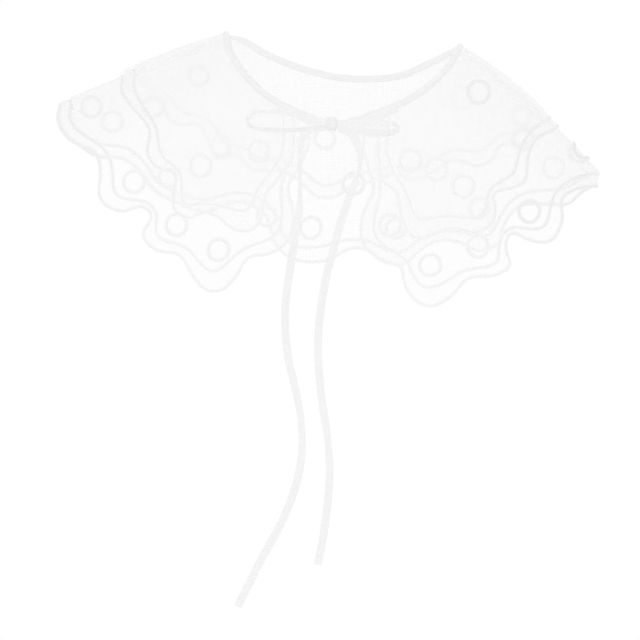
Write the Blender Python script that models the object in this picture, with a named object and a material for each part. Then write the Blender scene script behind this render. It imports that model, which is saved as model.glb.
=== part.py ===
# False collar of sheer organza, laid flat with its bow tied. Two scalloped tiers run from the left front over
# the left shoulder fold, across the back and over the right fold to the right front. Sizes are in millimetres,
# seen from above: x to the right, y towards the neck's back, z up from the table.
import math

import bpy
import numpy as np
from mathutils import Vector
from mathutils.bvhtree import BVHTree

MILLIMETRE = 0.001
WALL = 1.0
SEAM_GAP = 0.3
CORD_RISE = 0.7
CORD_INSET = 1.9
CORD_HALF = 1.7
FIRST_INNER_ROW = 6
LEAST_BAND = 6.2
BINDING_WIDTH = 5.0
BINDING_THICK = 2.6
BINDING_CHAMFER = 0.8
NECK_ROW = BINDING_WIDTH + SEAM_GAP + 0.35
RIBBON_WIDTH = 6.0
RIBBON_THICK = 1.0
RING_STROKE = 3.0
RING_THICK = 0.6
RING_SEGMENTS = 16
RING_GAP = 0.4
RAY_START = 1.25
FOLD_STEPS = 4
CENTRE = (-0.2, -0.4)

# Heights of each panel's underside: at the binding, and over the panel.
BACK_UPPER = {"neck": 0.0, "flat": 0.0}
BACK_LOWER = {"neck": 1.3, "flat": 2.4}
FRONT_LOWER = {"neck": 4.8, "flat": 4.8}
FRONT_UPPER = {"neck": 6.1, "flat": 7.2}
NECK_RISE_LENGTH = 9.0
NECK_ROW_LENGTH = 12.0
# The lower tier comes down past the hem of the tier beneath it. Spread is the distance from NECK_MIDDLE, with
# x measured 1.35 times closer because the collar is wider than it is deep.
NECK_MIDDLE = (5.0, 98.0)
SPREAD_WIDE = 1.35
SPREAD_RIGHT = {"from_x": 60.0, "to_x": 150.0, "less": 22.0}
BACK_DROP = {"from": 120.0, "to": 150.0, "by": 2.4}
FRONT_DROP = {"from": 139.0, "to": 169.0, "by": 2.4}

# Free edge of each panel. Columns: x, y, band (cloth between the edge's two cord lines).
LOWER_LEFT = [
    (-14.0, 37.0, 10.5), (-13.0, 21.0, 11.0), (-22.0, -1.0, 7.0), (-29.0, -13.5, 5.5), (-25.0, -35.0, 7.5),
    (-30.0, -55.0, 8.5), (-44.0, -64.5, 9.0), (-59.0, -67.5, 8.0), (-69.5, -82.5, 11.0), (-80.5, -92.0, 13.0),
    (-92.5, -91.5, 12.5), (-103.5, -79.5, 9.0), (-112.0, -66.0, 8.0), (-131.0, -61.0, 7.0),
    (-140.0, -49.5, 7.0), (-134.0, -35.0, 5.0), (-140.0, -29.5, 5.0), (-155.5, -33.0, 8.0),
    (-172.0, -23.0, 9.5), (-172.0, -1.5, 9.0), (-175.5, 11.0, 7.5), (-194.5, 21.0, 7.5),
    (-203.5, 35.0, 7.5), (-203.5, 49.5, 7.5),
]
UPPER_LEFT = [
    (-25.0, 39.0, 7.5), (-25.0, 17.0, 7.0), (-26.5, 6.5, 7.0), (-34.0, -4.5, 7.0), (-47.0, -22.0, 7.0),
    (-48.5, -36.0, 9.0), (-56.5, -46.5, 13.0), (-69.5, -47.0, 14.0), (-84.5, -36.5, 8.0), (-94.0, -34.0, 7.0),
    (-104.5, -38.0, 8.0), (-116.0, -31.5, 6.0), (-117.0, -18.0, 5.0), (-116.0, -5.0, 5.0),
    (-128.0, -0.5, 6.5), (-136.5, 10.5, 8.0), (-135.0, 28.5, 5.5), (-146.5, 44.0, 6.0), (-155.5, 57.0, 8.0),
    (-156.5, 71.0, 9.0),
]
LOWER_RIGHT = [
    (24.5, 39.0, 10.5), (25.0, 13.0, 9.0), (32.5, -15.5, 5.0), (28.0, -25.5, 7.0), (24.0, -36.0, 8.0),
    (24.5, -56.0, 9.0), (39.5, -69.5, 9.0), (53.0, -74.0, 7.0), (55.5, -86.0, 7.0), (65.0, -100.0, 10.5),
    (77.0, -104.0, 13.0), (91.0, -97.5, 10.5), (105.5, -83.0, 7.0), (123.5, -81.0, 6.0), (136.5, -73.5, 7.0),
    (134.0, -58.5, 5.5), (137.0, -49.5, 5.5), (153.5, -55.5, 7.5), (167.5, -54.5, 9.5), (176.0, -39.0, 9.0),
    (176.0, -23.0, 8.0), (186.5, -16.0, 8.0), (201.5, -14.0, 8.0),
]
UPPER_RIGHT = [
    (37.5, 41.0, 6.0), (36.0, 14.0, 5.0), (39.5, -9.0, 9.0), (49.0, -18.0, 7.0), (53.0, -34.5, 8.0),
    (59.0, -48.5, 10.5), (68.5, -54.0, 13.0), (80.5, -49.5, 11.5), (93.5, -45.5, 9.0), (110.0, -49.0, 9.0),
    (122.5, -42.0, 8.0), (126.0, -31.0, 6.0), (124.5, -19.5, 5.0), (135.5, -16.0, 7.0), (147.5, -10.0, 8.0),
    (150.0, 8.0, 7.0), (155.0, 20.0, 7.0), (164.5, 26.5, 7.5), (173.0, 32.0, 8.0),
]
LOWER_BACK = [
    (-203.5, 49.5, 7.5), (-201.5, 31.0, 7.5), (-187.0, 16.5, 7.5), (-173.0, 8.0, 8.0), (-155.5, 7.0, 9.0),
    (-140.5, -4.5, 6.0), (-132.0, -16.5, 4.5), (-117.5, -25.0, 7.0), (-94.0, -33.0, 7.0),
    (-66.5, -26.0, 7.5), (-48.5, -35.0, 7.5), (-41.5, -55.5, 7.0), (-30.5, -67.0, 8.0), (-12.5, -71.0, 10.0),
    (2.5, -68.5, 10.0), (16.0, -61.0, 7.0), (28.0, -61.5, 6.5), (40.0, -70.0, 7.5), (55.0, -73.0, 7.5),
    (70.0, -61.5, 6.0), (81.5, -55.0, 7.0), (97.0, -56.0, 7.5), (113.5, -62.5, 9.0), (128.5, -56.0, 7.0),
    (133.0, -42.0, 5.0), (143.5, -29.0, 7.5), (162.5, -27.5, 10.0), (179.5, -27.5, 10.5),
    (191.0, -18.0, 8.0), (201.5, -14.0, 8.0),
]
UPPER_BACK = [
    (-156.5, 71.0, 9.0), (-149.5, 59.0, 8.0), (-137.5, 50.0, 8.0), (-126.5, 50.0, 8.0), (-120.5, 36.0, 9.0),
    (-110.0, 31.5, 8.0), (-99.5, 33.0, 7.5), (-91.0, 21.0, 9.0), (-84.5, 7.0, 9.0), (-68.5, 9.0, 8.0),
    (-57.5, -2.0, 8.0), (-38.0, -2.0, 7.5), (-22.0, -10.5, 7.5), (-11.0, -21.0, 7.5), (5.0, -22.0, 7.5),
    (17.5, -14.0, 7.0), (35.5, -10.0, 7.0), (48.5, -5.0, 6.0), (64.0, -9.0, 6.0), (82.0, -2.0, 7.0),
    (92.5, 5.5, 7.5), (113.5, 1.0, 9.5), (124.0, 7.0, 7.5), (130.0, 17.0, 7.5), (148.0, 18.0, 9.0),
    (162.5, 26.0, 8.0), (173.0, 32.0, 8.0),
]

# Outer edge of the neck binding and the two shoulder folds. Columns: x, y.
NECK_BACK = [
    (-75.5, 104.0), (-62.5, 98.0), (-44.0, 87.5), (-17.0, 77.0), (8.5, 71.0), (32.5, 70.0), (53.5, 72.5),
    (76.0, 82.0), (98.0, 95.0),
]
NECK_LEFT = [
    (-8.5, 39.2), (-15.5, 42.0), (-32.0, 49.0), (-47.5, 59.0), (-62.0, 74.0), (-71.0, 88.0), (-75.5, 104.0),
]
NECK_RIGHT = [
    (12.5, 36.9), (17.5, 38.0), (34.0, 43.5), (50.5, 50.0), (67.0, 59.0), (79.0, 69.0), (89.0, 80.0),
    (98.0, 95.0),
]
FOLD_LEFT = [(-75.5, 104.0), (-111.5, 91.0), (-141.5, 80.0), (-171.5, 65.0), (-203.5, 49.5)]
FOLD_RIGHT = [
    (98.0, 95.0), (128.0, 73.5), (155.5, 51.0), (174.5, 30.0), (191.5, 14.0), (202.0, 4.0), (201.5, -14.0),
]
# How far each fold's turning line lies inside its outline, by distance from the neck.
FOLD_INSET = [(0.0, 4.1), (95.0, 4.1), (145.0, 1.7)]

# Embroidered rings by the panel that carries them. Columns: x, y, radius to the middle of the stroke.
RINGS = {
    "front_upper": [
        (-95.9, 2.1, 7.9), (-52.3, 13.1, 7.5), (61.0, 6.0, 7.9), (100.7, -13.1, 7.9), (112.0, 57.1, 8.2),
    ],
    "front_lower": [
        (-177.6, 46.6, 7.6), (-145.8, -9.6, 7.9), (-120.2, -6.7, 6.8), (-113.9, -41.9, 7.9), (-82.5, -60.6, 7.9),
        (-46.7, -35.6, 6.9), (80.5, -0.2, 7.9), (168.1, 1.0, 7.9), (150.2, -31.9, 7.9), (111.6, -58.0, 7.9),
        (76.1, -72.0, 7.9), (45.9, -42.2, 7.9),
    ],
    "back_lower": [
        (-13.4, -44.0, 7.9), (18.5, -11.0, 7.9), (-162.2, 35.4, 7.6), (50.4, -44.4, 7.3), (112.8, -29.4, 7.4),
        (-97.4, 69.7, 7.2), (99.5, 53.0, 7.9), (-81.1, 17.3, 7.5), (-131.6, 46.5, 7.5), (145.9, 22.1, 7.5),
    ],
    "back_upper": [
        (-2.9, 23.1, 7.6), (145.0, 39.6, 6.7),
    ],
}

# Ribbon pieces. Columns: x, y, z of the ribbon's middle, roll in degrees (0 lies flat, 90 stands on edge).
LOOP_LEFT = [
    (-3.8, 36.0, 12.3, 66), (-15.0, 38.0, 12.3, 66), (-29.0, 41.0, 12.3, 66), (-45.0, 42.4, 12.3, 66),
    (-56.5, 41.0, 12.3, 66), (-60.8, 35.6, 12.3, 66), (-57.5, 30.4, 12.3, 66), (-45.0, 28.4, 12.3, 66),
    (-29.0, 28.1, 12.3, 66), (-15.0, 29.2, 12.3, 66), (-3.8, 31.0, 12.3, 66),
]
LOOP_RIGHT = [
    (7.3, 31.0, 12.3, -66), (17.0, 28.0, 12.3, -66), (30.0, 25.8, 12.3, -66), (43.0, 25.0, 12.3, -66),
    (52.5, 26.6, 12.3, -66), (55.5, 30.6, 12.3, -66), (51.5, 34.4, 12.3, -66), (38.0, 35.4, 12.3, -66),
    (21.0, 34.8, 12.3, -66), (7.3, 35.4, 12.3, -66),
]
TIE_LEFT = [(-38.6, 46.2, 8.4, 0), (-27.0, 41.6, 8.4, 0), (-15.0, 36.6, 8.4, 0), (-4.6, 33.4, 8.4, 0)]
TIE_RIGHT = [(8.0, 31.4, 8.4, 0), (18.0, 32.6, 8.4, 0), (34.0, 37.8, 8.4, 0), (51.4, 44.8, 8.4, 0)]
STUB_LEFT = [(-3.6, 31.0, 7.1, 0), (-9.5, 30.0, 7.1, 0), (-15.5, 27.8, 7.1, 0), (-19.4, 23.2, 7.3, 0)]
STUB_RIGHT = [(7.4, 30.0, 7.1, 0), (12.0, 28.6, 7.1, 0), (17.0, 25.6, 7.1, 0), (20.2, 21.0, 7.3, 0)]
TAIL_LEFT = [
    (-20.4, 21.4, 7.4, 0), (-21.2, 13.0, 9.2, 45), (-21.5, 4.0, 10.0, 70), (-21.5, -10.0, 10.0, 70),
    (-21.6, -22.0, 9.8, 60), (-22.2, -33.0, 8.6, 25), (-24.0, -46.0, 7.4, 0), (-26.2, -58.0, 6.0, 0),
    (-28.0, -70.0, 3.4, 0), (-29.8, -82.0, 1.2, 0), (-32.0, -98.0, 0.55, 0), (-32.5, -118.0, 0.55, 0),
    (-30.0, -142.5, 0.55, 0), (-24.5, -167.0, 1.6, 20), (-20.5, -191.0, 2.4, 40), (-20.5, -216.0, 1.6, 20),
    (-25.0, -239.0, 0.55, 0), (-35.5, -265.5, 0.55, 0), (-50.5, -293.0, 0.55, 0), (-68.0, -328.0, 0.55, 0),
]
TAIL_RIGHT = [
    (21.1, 19.4, 7.4, 0), (23.0, 11.0, 9.2, 45), (23.3, 2.0, 10.0, 70), (20.6, -7.5, 9.6, 60),
    (16.4, -19.0, 7.6, 25), (12.0, -31.0, 5.6, 0), (7.4, -46.0, 4.3, 0), (3.5, -61.0, 3.2, 0),
    (1.2, -69.5, 2.7, 0), (-1.3, -79.0, 1.5, 0), (-3.2, -89.0, 0.7, 0), (-5.2, -101.0, 0.55, 0), (-7.4, -120.0, 0.55, 0),
    (-7.8, -140.0, 0.55, 0), (-5.0, -173.0, 0.7, 0), (-0.8, -202.0, 2.3, 35), (0.8, -228.0, 0.9, 5),
    (-2.5, -266.0, 0.55, 0), (-8.0, -297.0, 0.55, 0),
]
KNOT = {"x": (-3.1, 6.9), "y": (27.4, 38.8), "z": (4.3, 15.2), "waist": 0.86, "sides": 16, "rings": 9}


def unit(vectors):
    return vectors / np.linalg.norm(vectors, axis=-1, keepdims=True)


def curve_through(rows, step=0.5):
    # Smooth curve through the rows, sampled about every step: Hermite pieces with centripetal slopes.
    p = np.array(rows, float)
    chord = np.linalg.norm(np.diff(p[:, :2], axis=0), axis=1)
    knots = np.concatenate([[0.0], np.cumsum(np.sqrt(chord))])
    slope = np.zeros_like(p)
    slope[0] = (p[1] - p[0]) / (knots[1] - knots[0])
    slope[-1] = (p[-1] - p[-2]) / (knots[-1] - knots[-2])
    for i in range(1, len(p) - 1):
        before = knots[i] - knots[i - 1]
        after = knots[i + 1] - knots[i]
        back_slope = (p[i] - p[i - 1]) / before
        next_slope = (p[i + 1] - p[i]) / after
        slope[i] = (after * back_slope + before * next_slope) / (before + after)
    pieces = []
    for i in range(len(p) - 1):
        width = knots[i + 1] - knots[i]
        count = max(2, int(chord[i] / step))
        t = np.linspace(0.0, 1.0, count, endpoint=False)[:, None]
        piece = (2 * t**3 - 3 * t**2 + 1) * p[i] + (t**3 - 2 * t**2 + t) * width * slope[i]
        piece += (3 * t**2 - 2 * t**3) * p[i + 1] + (t**3 - t**2) * width * slope[i + 1]
        pieces.append(piece)
    pieces.append(p[-1:])
    return np.vstack(pieces)


def arc(curve):
    return np.concatenate([[0.0], np.cumsum(np.linalg.norm(np.diff(curve[:, :2], axis=0), axis=1))])


def at(curve, distance):
    # The curve's columns at these distances along it.
    along = arc(curve)
    distance = np.asarray(distance, float)
    return np.stack([np.interp(distance, along, column) for column in curve.T], axis=-1)


def part_of(curve, start, end, count=60):
    return at(curve, np.linspace(start, end, count))


def blurred(values, along, width):
    # Average of the values along the curve with a bell of this width.
    weight = np.exp(-0.5 * ((along[:, None] - along[None, :]) / width) ** 2)
    weight *= np.gradient(along)[None, :]
    return weight @ values / weight.sum(axis=1, keepdims=True)


def nearest(curve, point):
    # Distance along the curve to its closest sample.
    return arc(curve)[np.argmin(np.linalg.norm(curve[:, :2] - np.array(point[:2]), axis=1))]


def fold_axis(rows):
    # Turning line of a fold: its outline moved inwards, square to the line, by FOLD_INSET.
    outline = curve_through(rows)
    along = arc(outline)
    heading = unit(blurred(np.gradient(outline, axis=0), along, 12.0))
    inset = np.interp(along, *zip(*FOLD_INSET))[:, None]
    side = 1.0 if rows is FOLD_RIGHT else -1.0
    outward = side * np.stack([-heading[:, 1], heading[:, 0]], axis=1)
    return outline - outward * inset, outward


def neck_curves(rows, fold_point, fold_heading, fold_at_end, inward_side):
    # Outer edge of the binding and, beside it, the direction from the neck into the cloth.
    rows = [tuple(row) for row in rows]
    if fold_at_end:
        rows[-1] = tuple(fold_point)
    else:
        rows[0] = tuple(fold_point)
    edge = curve_through(rows)
    along = arc(edge)
    heading = unit(blurred(np.gradient(edge, axis=0), along, 4.0))
    inward = inward_side * np.stack([-heading[:, 1], heading[:, 0]], axis=1)
    distance = along[-1] - along if fold_at_end else along
    share = np.exp(-((distance / 14.0) ** 2))[:, None]
    return edge, unit(inward * (1 - share) + fold_heading * share)


AXIS_LEFT, OUT_LEFT = fold_axis(FOLD_LEFT)
AXIS_RIGHT, OUT_RIGHT = fold_axis(FOLD_RIGHT)
HEAD_LEFT = unit(AXIS_LEFT[10] - AXIS_LEFT[0])
HEAD_RIGHT = unit(AXIS_RIGHT[10] - AXIS_RIGHT[0])


def whole_neck_back():
    # The back neckline meets a fold at each end.
    left, left_inward = neck_curves(NECK_BACK[:-1] + [tuple(AXIS_RIGHT[0])], AXIS_LEFT[0], HEAD_LEFT, False, -1.0)
    along = arc(left)
    share = np.exp(-(((along[-1] - along) / 14.0) ** 2))[:, None]
    return left, unit(left_inward * (1 - share) + HEAD_RIGHT * share)


NECK = {
    "left": neck_curves(NECK_LEFT, AXIS_LEFT[0], HEAD_LEFT, True, 1.0),
    "back": whole_neck_back(),
    "right": neck_curves(NECK_RIGHT, AXIS_RIGHT[0], HEAD_RIGHT, True, -1.0),
}
NECK_ALL = np.vstack([NECK["left"][0], NECK["back"][0], NECK["right"][0]])


def from_neck(points):
    gaps = np.linalg.norm(points[:, None, :2] - NECK_ALL[None, ::4, :], axis=2)
    return np.maximum(gaps.min(axis=1) - NECK_ROW, 0.0)


def spread(points):
    # Distance from the neck's middle, made less on the right, where the upper tier reaches further out.
    away = np.hypot((points[:, 0] - NECK_MIDDLE[0]) / SPREAD_WIDE, points[:, 1] - NECK_MIDDLE[1])
    width = SPREAD_RIGHT["to_x"] - SPREAD_RIGHT["from_x"]
    return away - SPREAD_RIGHT["less"] * np.clip((points[:, 0] - SPREAD_RIGHT["from_x"]) / width, 0.0, 1.0)


def underside(points, level, drop):
    # Height of a panel's underside: it rises from the binding, and the lower tier falls past the tier below.
    rise = np.clip(from_neck(points) / NECK_RISE_LENGTH, 0.0, 1.0)
    z = level["neck"] + (level["flat"] - level["neck"]) * rise
    if drop:
        share = np.clip((spread(points) - drop["from"]) / (drop["to"] - drop["from"]), 0.0, 1.0)
        z = z - drop["by"] * share
    return z


def rib_underside(points, level, drop):
    # The same for one rib, where the first inner row stays level: the cloth falls from there to the edge.
    z = underside(points, level, drop)
    z[FIRST_INNER_ROW] = underside(points[FIRST_INNER_ROW:FIRST_INNER_ROW + 1], level, None)[0]
    return z


def stations(edge):
    # Distances along a free edge, closer together where it turns more.
    along = arc(edge)
    heading = unit(blurred(np.gradient(edge[:, :2], axis=0), along, 1.5))
    turn = np.linalg.norm(np.gradient(heading, axis=0), axis=1) / np.gradient(along)
    spacing = np.clip(0.27 / np.maximum(turn, 1e-6), 4.0, 9.6)
    spacing = blurred(spacing[:, None], along, 3.0)[:, 0]
    count = np.concatenate([[0.0], np.cumsum(np.diff(along) / spacing[1:])])
    return np.interp(np.linspace(0.0, count[-1], int(math.ceil(count[-1])) + 1), count, along)


TRIES = np.linspace(0.0, 0.75, 76)


def share_at(line, contour):
    # How far along a rib its first inner row lies: where the rib crosses the contour of spread.
    if not contour:
        return 0.22
    past = np.nonzero(spread(line) > contour)[0]
    return max(0.22, TRIES[past[-1]]) if len(past) else 0.22


def row_points(edge_rows, side, start_curve, end_curve, neck_row, reach, bends, contour):
    # Plan points of a panel, station by row: free edge, two cord lines, two inner rows and the neck row.
    rows = [list(row) for row in edge_rows]
    rows[0][:2] = start_curve[0, :2]
    rows[-1][:2] = end_curve[0, :2]
    edge = curve_through(rows)
    along = arc(edge)
    heading = unit(blurred(np.gradient(edge[:, :2], axis=0), along, 1.5))
    square = side * np.stack([-heading[:, 1], heading[:, 0]], axis=1)
    soft = unit(blurred(square, along, 8.5))
    square = unit(blurred(square, along, 2.8))
    turned = []
    for inward in (square, soft):
        aim = inward
        for curve, distance in ((start_curve, along), (end_curve, along[-1] - along)):
            share = np.exp(-((distance / 13.0) ** 2))[:, None]
            aim = aim * (1 - share) + unit(curve[12, :2] - curve[0, :2]) * share
        aim = unit(aim)
        turned.append(aim / np.maximum((aim * inward).sum(axis=1, keepdims=True), 0.75))
    inner = edge[:, :2] + turned[1] * (edge[:, 2:3] + CORD_INSET)
    inner = np.vstack([inner[:1], blurred(inner, along, 4.5)[1:-1], inner[-1:]])
    gap = np.linalg.norm(inner[:, None] - edge[None, ::2, :2], axis=2).min(axis=1)
    inner = inner + turned[1] * np.maximum(LEAST_BAND - gap, 0.0)[:, None]
    picked = stations(edge)
    e, near, far, middle = (
        np.stack([np.interp(picked, along, column) for column in table.T], axis=1)
        for table in (edge[:, :2], turned[0], turned[1], inner)
    )
    foot = middle + far * CORD_HALF
    share = reach[0] + (reach[1] - reach[0]) * picked / along[-1]
    neck = at(neck_row, share * arc(neck_row)[-1])
    shares = np.array([share_at(f + TRIES[:, None] * (n - f), contour) for f, n in zip(foot, neck)])
    shares = blurred(shares[:, None], picked, 9.0)[:, 0]
    for curve, distance, contour_here in ((start_curve, picked, contour), (end_curve, along[-1] - picked, contour)):
        inset = edge_rows[-1][2] + CORD_INSET + CORD_HALF
        whole = arc(curve)[-1]
        end_share = share_at(at(curve, inset + (whole - inset) * TRIES), contour_here)
        weight = np.exp(-((distance / 18.0) ** 2))
        shares = shares * (1 - weight) + end_share * weight
    ribs = []
    for i, s in enumerate(picked):
        line = neck[i] - foot[i]
        length = np.linalg.norm(line)
        t_b = 1.0 - min(NECK_ROW_LENGTH / length, 0.4)
        t_a = min(shares[i], t_b - 0.1)
        points = [e[i], e[i] + near[i] * CORD_INSET, e[i] + near[i] * (CORD_INSET + CORD_HALF)]
        points += [middle[i] - far[i] * CORD_HALF, middle[i], foot[i]]
        for t in (t_a, t_b):
            point = foot[i] + line * t
            for curve, distance, width in ((start_curve, s, bends[0]), (end_curve, along[-1] - s, bends[1])):
                whole = arc(curve)[-1]
                inset = np.linalg.norm(foot[i] - e[i])
                bent = at(curve, inset + (whole - inset) * t)[:2]
                straight = at(curve, inset)[:2] * (1 - t) + curve[-1, :2] * t
                point = point + (bent - straight) * math.exp(-((distance / width) ** 2))
            points.append(point)
        points.append(neck[i])
        ribs.append(np.array(points))
    return np.array(ribs), picked, along[-1]


def end_rows(curve, band, contour):
    # One rib that lies on an end curve, from the free edge to the neck row.
    whole = arc(curve)[-1]
    middle = band + CORD_INSET
    inset = middle + CORD_HALF
    t_b = 1.0 - min(NECK_ROW_LENGTH / (whole - inset), 0.4)
    line = at(curve, inset + (whole - inset) * TRIES)
    t_a = min(share_at(line, contour), t_b - 0.1)
    inner = [inset + (whole - inset) * t for t in (t_a, t_b)]
    stops = [0.0, CORD_INSET, CORD_INSET + CORD_HALF, middle - CORD_HALF, middle, inset, *inner, whole]
    return at(curve, stops)[:, :2]


CORD_ROWS = np.array([0.35, 1.0, 0.0, 0.0, 1.0, 0.0, 0.0, 0.0, 0.0]) * CORD_RISE


def neck_row_of(side):
    edge, inward = NECK[side]
    return edge + inward * NECK_ROW


def tier_ribs(edges, fronts, back_level, front_level, drops):
    # Ribs of a whole tier in order. Each rib holds outer points and inner points, from the free edge to the neck.
    contours = [drop["from"] if drop else None for drop in drops]
    folds = {}
    for side, axis, outward in (("left", AXIS_LEFT, OUT_LEFT), ("right", AXIS_RIGHT, OUT_RIGHT)):
        end = nearest(axis, edges[side][-1])
        folds[side] = part_of(axis, end, NECK_ROW, 120), at(outward, 0.5 * end)
        steps = np.interp(np.linspace(end, NECK_ROW, 120), arc(axis), np.arange(len(axis)))
        folds[side] = folds[side][0], np.stack([np.interp(steps, np.arange(len(axis)), c) for c in outward.T], 1)
    panels = {}
    for side in ("left", "right"):
        row = neck_row_of(side)
        start = nearest(row, edges[side][0])
        front_end = part_of(row, start, start + fronts, 40)
        bulge = 0.6 * np.sin(np.linspace(0.0, math.pi, 40))[:, None]
        front_end = front_end + bulge * NECK[side][1][20]
        rest = part_of(row, start + fronts, arc(row)[-1], 200)
        turn = -1.0 if side == "left" else 1.0
        panels[side] = row_points(
            edges[side], turn, front_end, folds[side][0], rest, (0.0, 1.0), (22.0, 60.0), contours[1]
        )
    back_row = neck_row_of("back")
    panels["back"] = row_points(
        edges["back"], 1.0, folds["left"][0], folds["right"][0], back_row, (0.0, 1.0), (60.0, 60.0), contours[0]
    )
    ribs = []

    def add_flat(plan, level, drop, facing, fade):
        z = rib_underside(plan, level, drop) + WALL / 2
        middle = np.column_stack([plan, z])
        up = np.array([0.0, 0.0, 1.0])
        cords = CORD_ROWS[:, None] * fade
        rise_outer = cords if facing > 0 else 0.0 * cords
        rise_inner = cords if facing < 0 else 0.0 * cords
        outer = middle + facing * up * (WALL / 2 + rise_outer)
        inner = middle - facing * up * (WALL / 2 + rise_inner)
        ribs.append((outer, inner))

    def add_fold(side, band):
        curve, outward = folds[side]
        angles = np.linspace(0.0, math.pi, FOLD_STEPS + 2)[1:-1]
        if side == "right":
            angles = angles[::-1]
        for angle in angles:
            contour = None
            if contours[0]:
                contour = contours[1] + (contours[0] - contours[1]) * angle / math.pi
            plan = end_rows(curve, band, contour)
            low = rib_underside(plan, back_level, drops[0])
            high = rib_underside(plan, front_level, drops[1])
            radius = (high - low) / 2
            centre = (high + low + WALL) / 2
            places = [np.argmin(np.linalg.norm(curve[:, :2] - point, axis=1)) for point in plan]
            out = outward[places]
            across = np.column_stack([out * math.sin(angle), np.full(len(plan), math.cos(angle))])
            middle = np.column_stack([plan, centre]) + across * radius[:, None]
            share = angle / math.pi
            outer = middle + across * (WALL / 2 + CORD_ROWS[:, None] * (1 - share))
            inner = middle - across * (WALL / 2 + CORD_ROWS[:, None] * share * 0.8)
            ribs.append((outer, inner))

    plans, picked, _ = panels["left"]
    for plan, s in zip(plans, picked):
        add_flat(plan, front_level, drops[1], 1.0, min(max((s - 6.0) / 8.0, 0.0), 1.0))
    add_fold("left", edges["left"][-1][2])
    for plan in panels["back"][0]:
        add_flat(plan, back_level, drops[0], -1.0, 1.0)
    add_fold("right", edges["right"][-1][2])
    plans, picked, _ = panels["right"]
    for plan, s in zip(plans[::-1], picked[::-1]):
        add_flat(plan, front_level, drops[1], 1.0, min(max((s - 6.0) / 8.0, 0.0), 1.0))
    return ribs


def strip_mesh(ribs):
    # Closed body from ribs: quads round each pair of neighbours and across the two ends.
    rows = len(ribs[0][0])
    loop = 2 * rows
    vertices = np.vstack([np.vstack([outer, inner[::-1]]) for outer, inner in ribs])
    faces = []
    for i in range(len(ribs) - 1):
        for j in range(loop):
            a, b = i * loop + j, i * loop + (j + 1) % loop
            c, d = b + loop, a + loop
            if np.linalg.norm(vertices[a] - vertices[c]) < np.linalg.norm(vertices[b] - vertices[d]):
                faces += [(a, b, c), (a, c, d)]
            else:
                faces += [(a, b, d), (b, c, d)]
    last = (len(ribs) - 1) * loop
    for j in range(rows - 1):
        faces.append((j, loop - 1 - j, loop - 2 - j, j + 1))
        faces.append((last + j, last + j + 1, last + loop - 2 - j, last + loop - 1 - j))
    return vertices, faces


def material(name, colour, rough):
    made = bpy.data.materials.new(name)
    made.use_nodes = True
    shader = made.node_tree.nodes["Principled BSDF"]
    shader.inputs["Base Color"].default_value = (*colour, 1.0)
    shader.inputs["Roughness"].default_value = rough
    return made


def make(name, vertices, faces, colour, rough):
    # Adds one closed solid, with its faces turned outwards.
    vertices = np.array(vertices) - np.array([CENTRE[0], CENTRE[1], 0.0])
    volume = 0.0
    for face in faces:
        first = vertices[face[0]]
        for second, third in zip(face[1:-1], face[2:]):
            volume += float(np.dot(first, np.cross(vertices[second], vertices[third])))
    if volume < 0:
        faces = [tuple(reversed(face)) for face in faces]
    mesh = bpy.data.meshes.new(name)
    mesh.from_pydata([tuple(v * MILLIMETRE) for v in vertices], [], faces)
    mesh.materials.append(material(name, colour, rough))
    solid = bpy.data.objects.new(name, mesh)
    bpy.context.scene.collection.objects.link(solid)
    return solid


def ribbon_line(rows):
    # Smooth line in plan. Height and roll go straight from row to row and are then rounded off, so that they
    # never swing past a row.
    curve = curve_through(rows)
    along = arc(curve)
    at_rows = [nearest(curve, row) for row in rows]
    steep = np.column_stack([np.interp(along, at_rows, [row[k] for row in rows]) for k in (2, 3)])
    soft = blurred(steep, along, 3.0)
    soft[0], soft[-1] = steep[0], steep[-1]
    curve[:, 2:4] = soft
    return curve


def ribbon(name, rows, step, colour=(0.92, 0.93, 0.93)):
    # Flat ribbon swept along its rows. Roll turns the ribbon's width about its own line.
    curve = ribbon_line(rows)
    whole = arc(curve)[-1]
    places = at(curve, np.linspace(0.0, whole, max(3, int(round(whole / step)) + 1)))
    heading = unit(np.gradient(places[:, :3], axis=0))
    level = unit(np.column_stack([-heading[:, 1], heading[:, 0], np.zeros(len(heading))]))
    upward = np.cross(heading, level)
    roll = np.radians(places[:, 3:4])
    across = level * np.cos(roll) + upward * np.sin(roll)
    over = np.cross(heading, across)
    corners = []
    for wide, thick in ((-0.5, -0.5), (0.5, -0.5), (0.5, 0.5), (-0.5, 0.5)):
        corners.append(places[:, :3] + across * wide * RIBBON_WIDTH + over * thick * RIBBON_THICK)
    vertices = np.stack(corners, axis=1).reshape(-1, 3)
    faces = []
    for i in range(len(places) - 1):
        for j in range(4):
            a, b = 4 * i + j, 4 * i + (j + 1) % 4
            c, d = b + 4, a + 4
            # Both broad sides are split along the same diagonal, so that a twist keeps its thickness.
            faces += [(a, b, d), (b, c, d)] if j == 2 else [(a, b, c), (a, c, d)]
    last = 4 * (len(places) - 1)
    faces += [(3, 2, 1, 0), (last, last + 1, last + 2, last + 3)]
    return make(name, vertices, faces, colour, 0.5)


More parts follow.
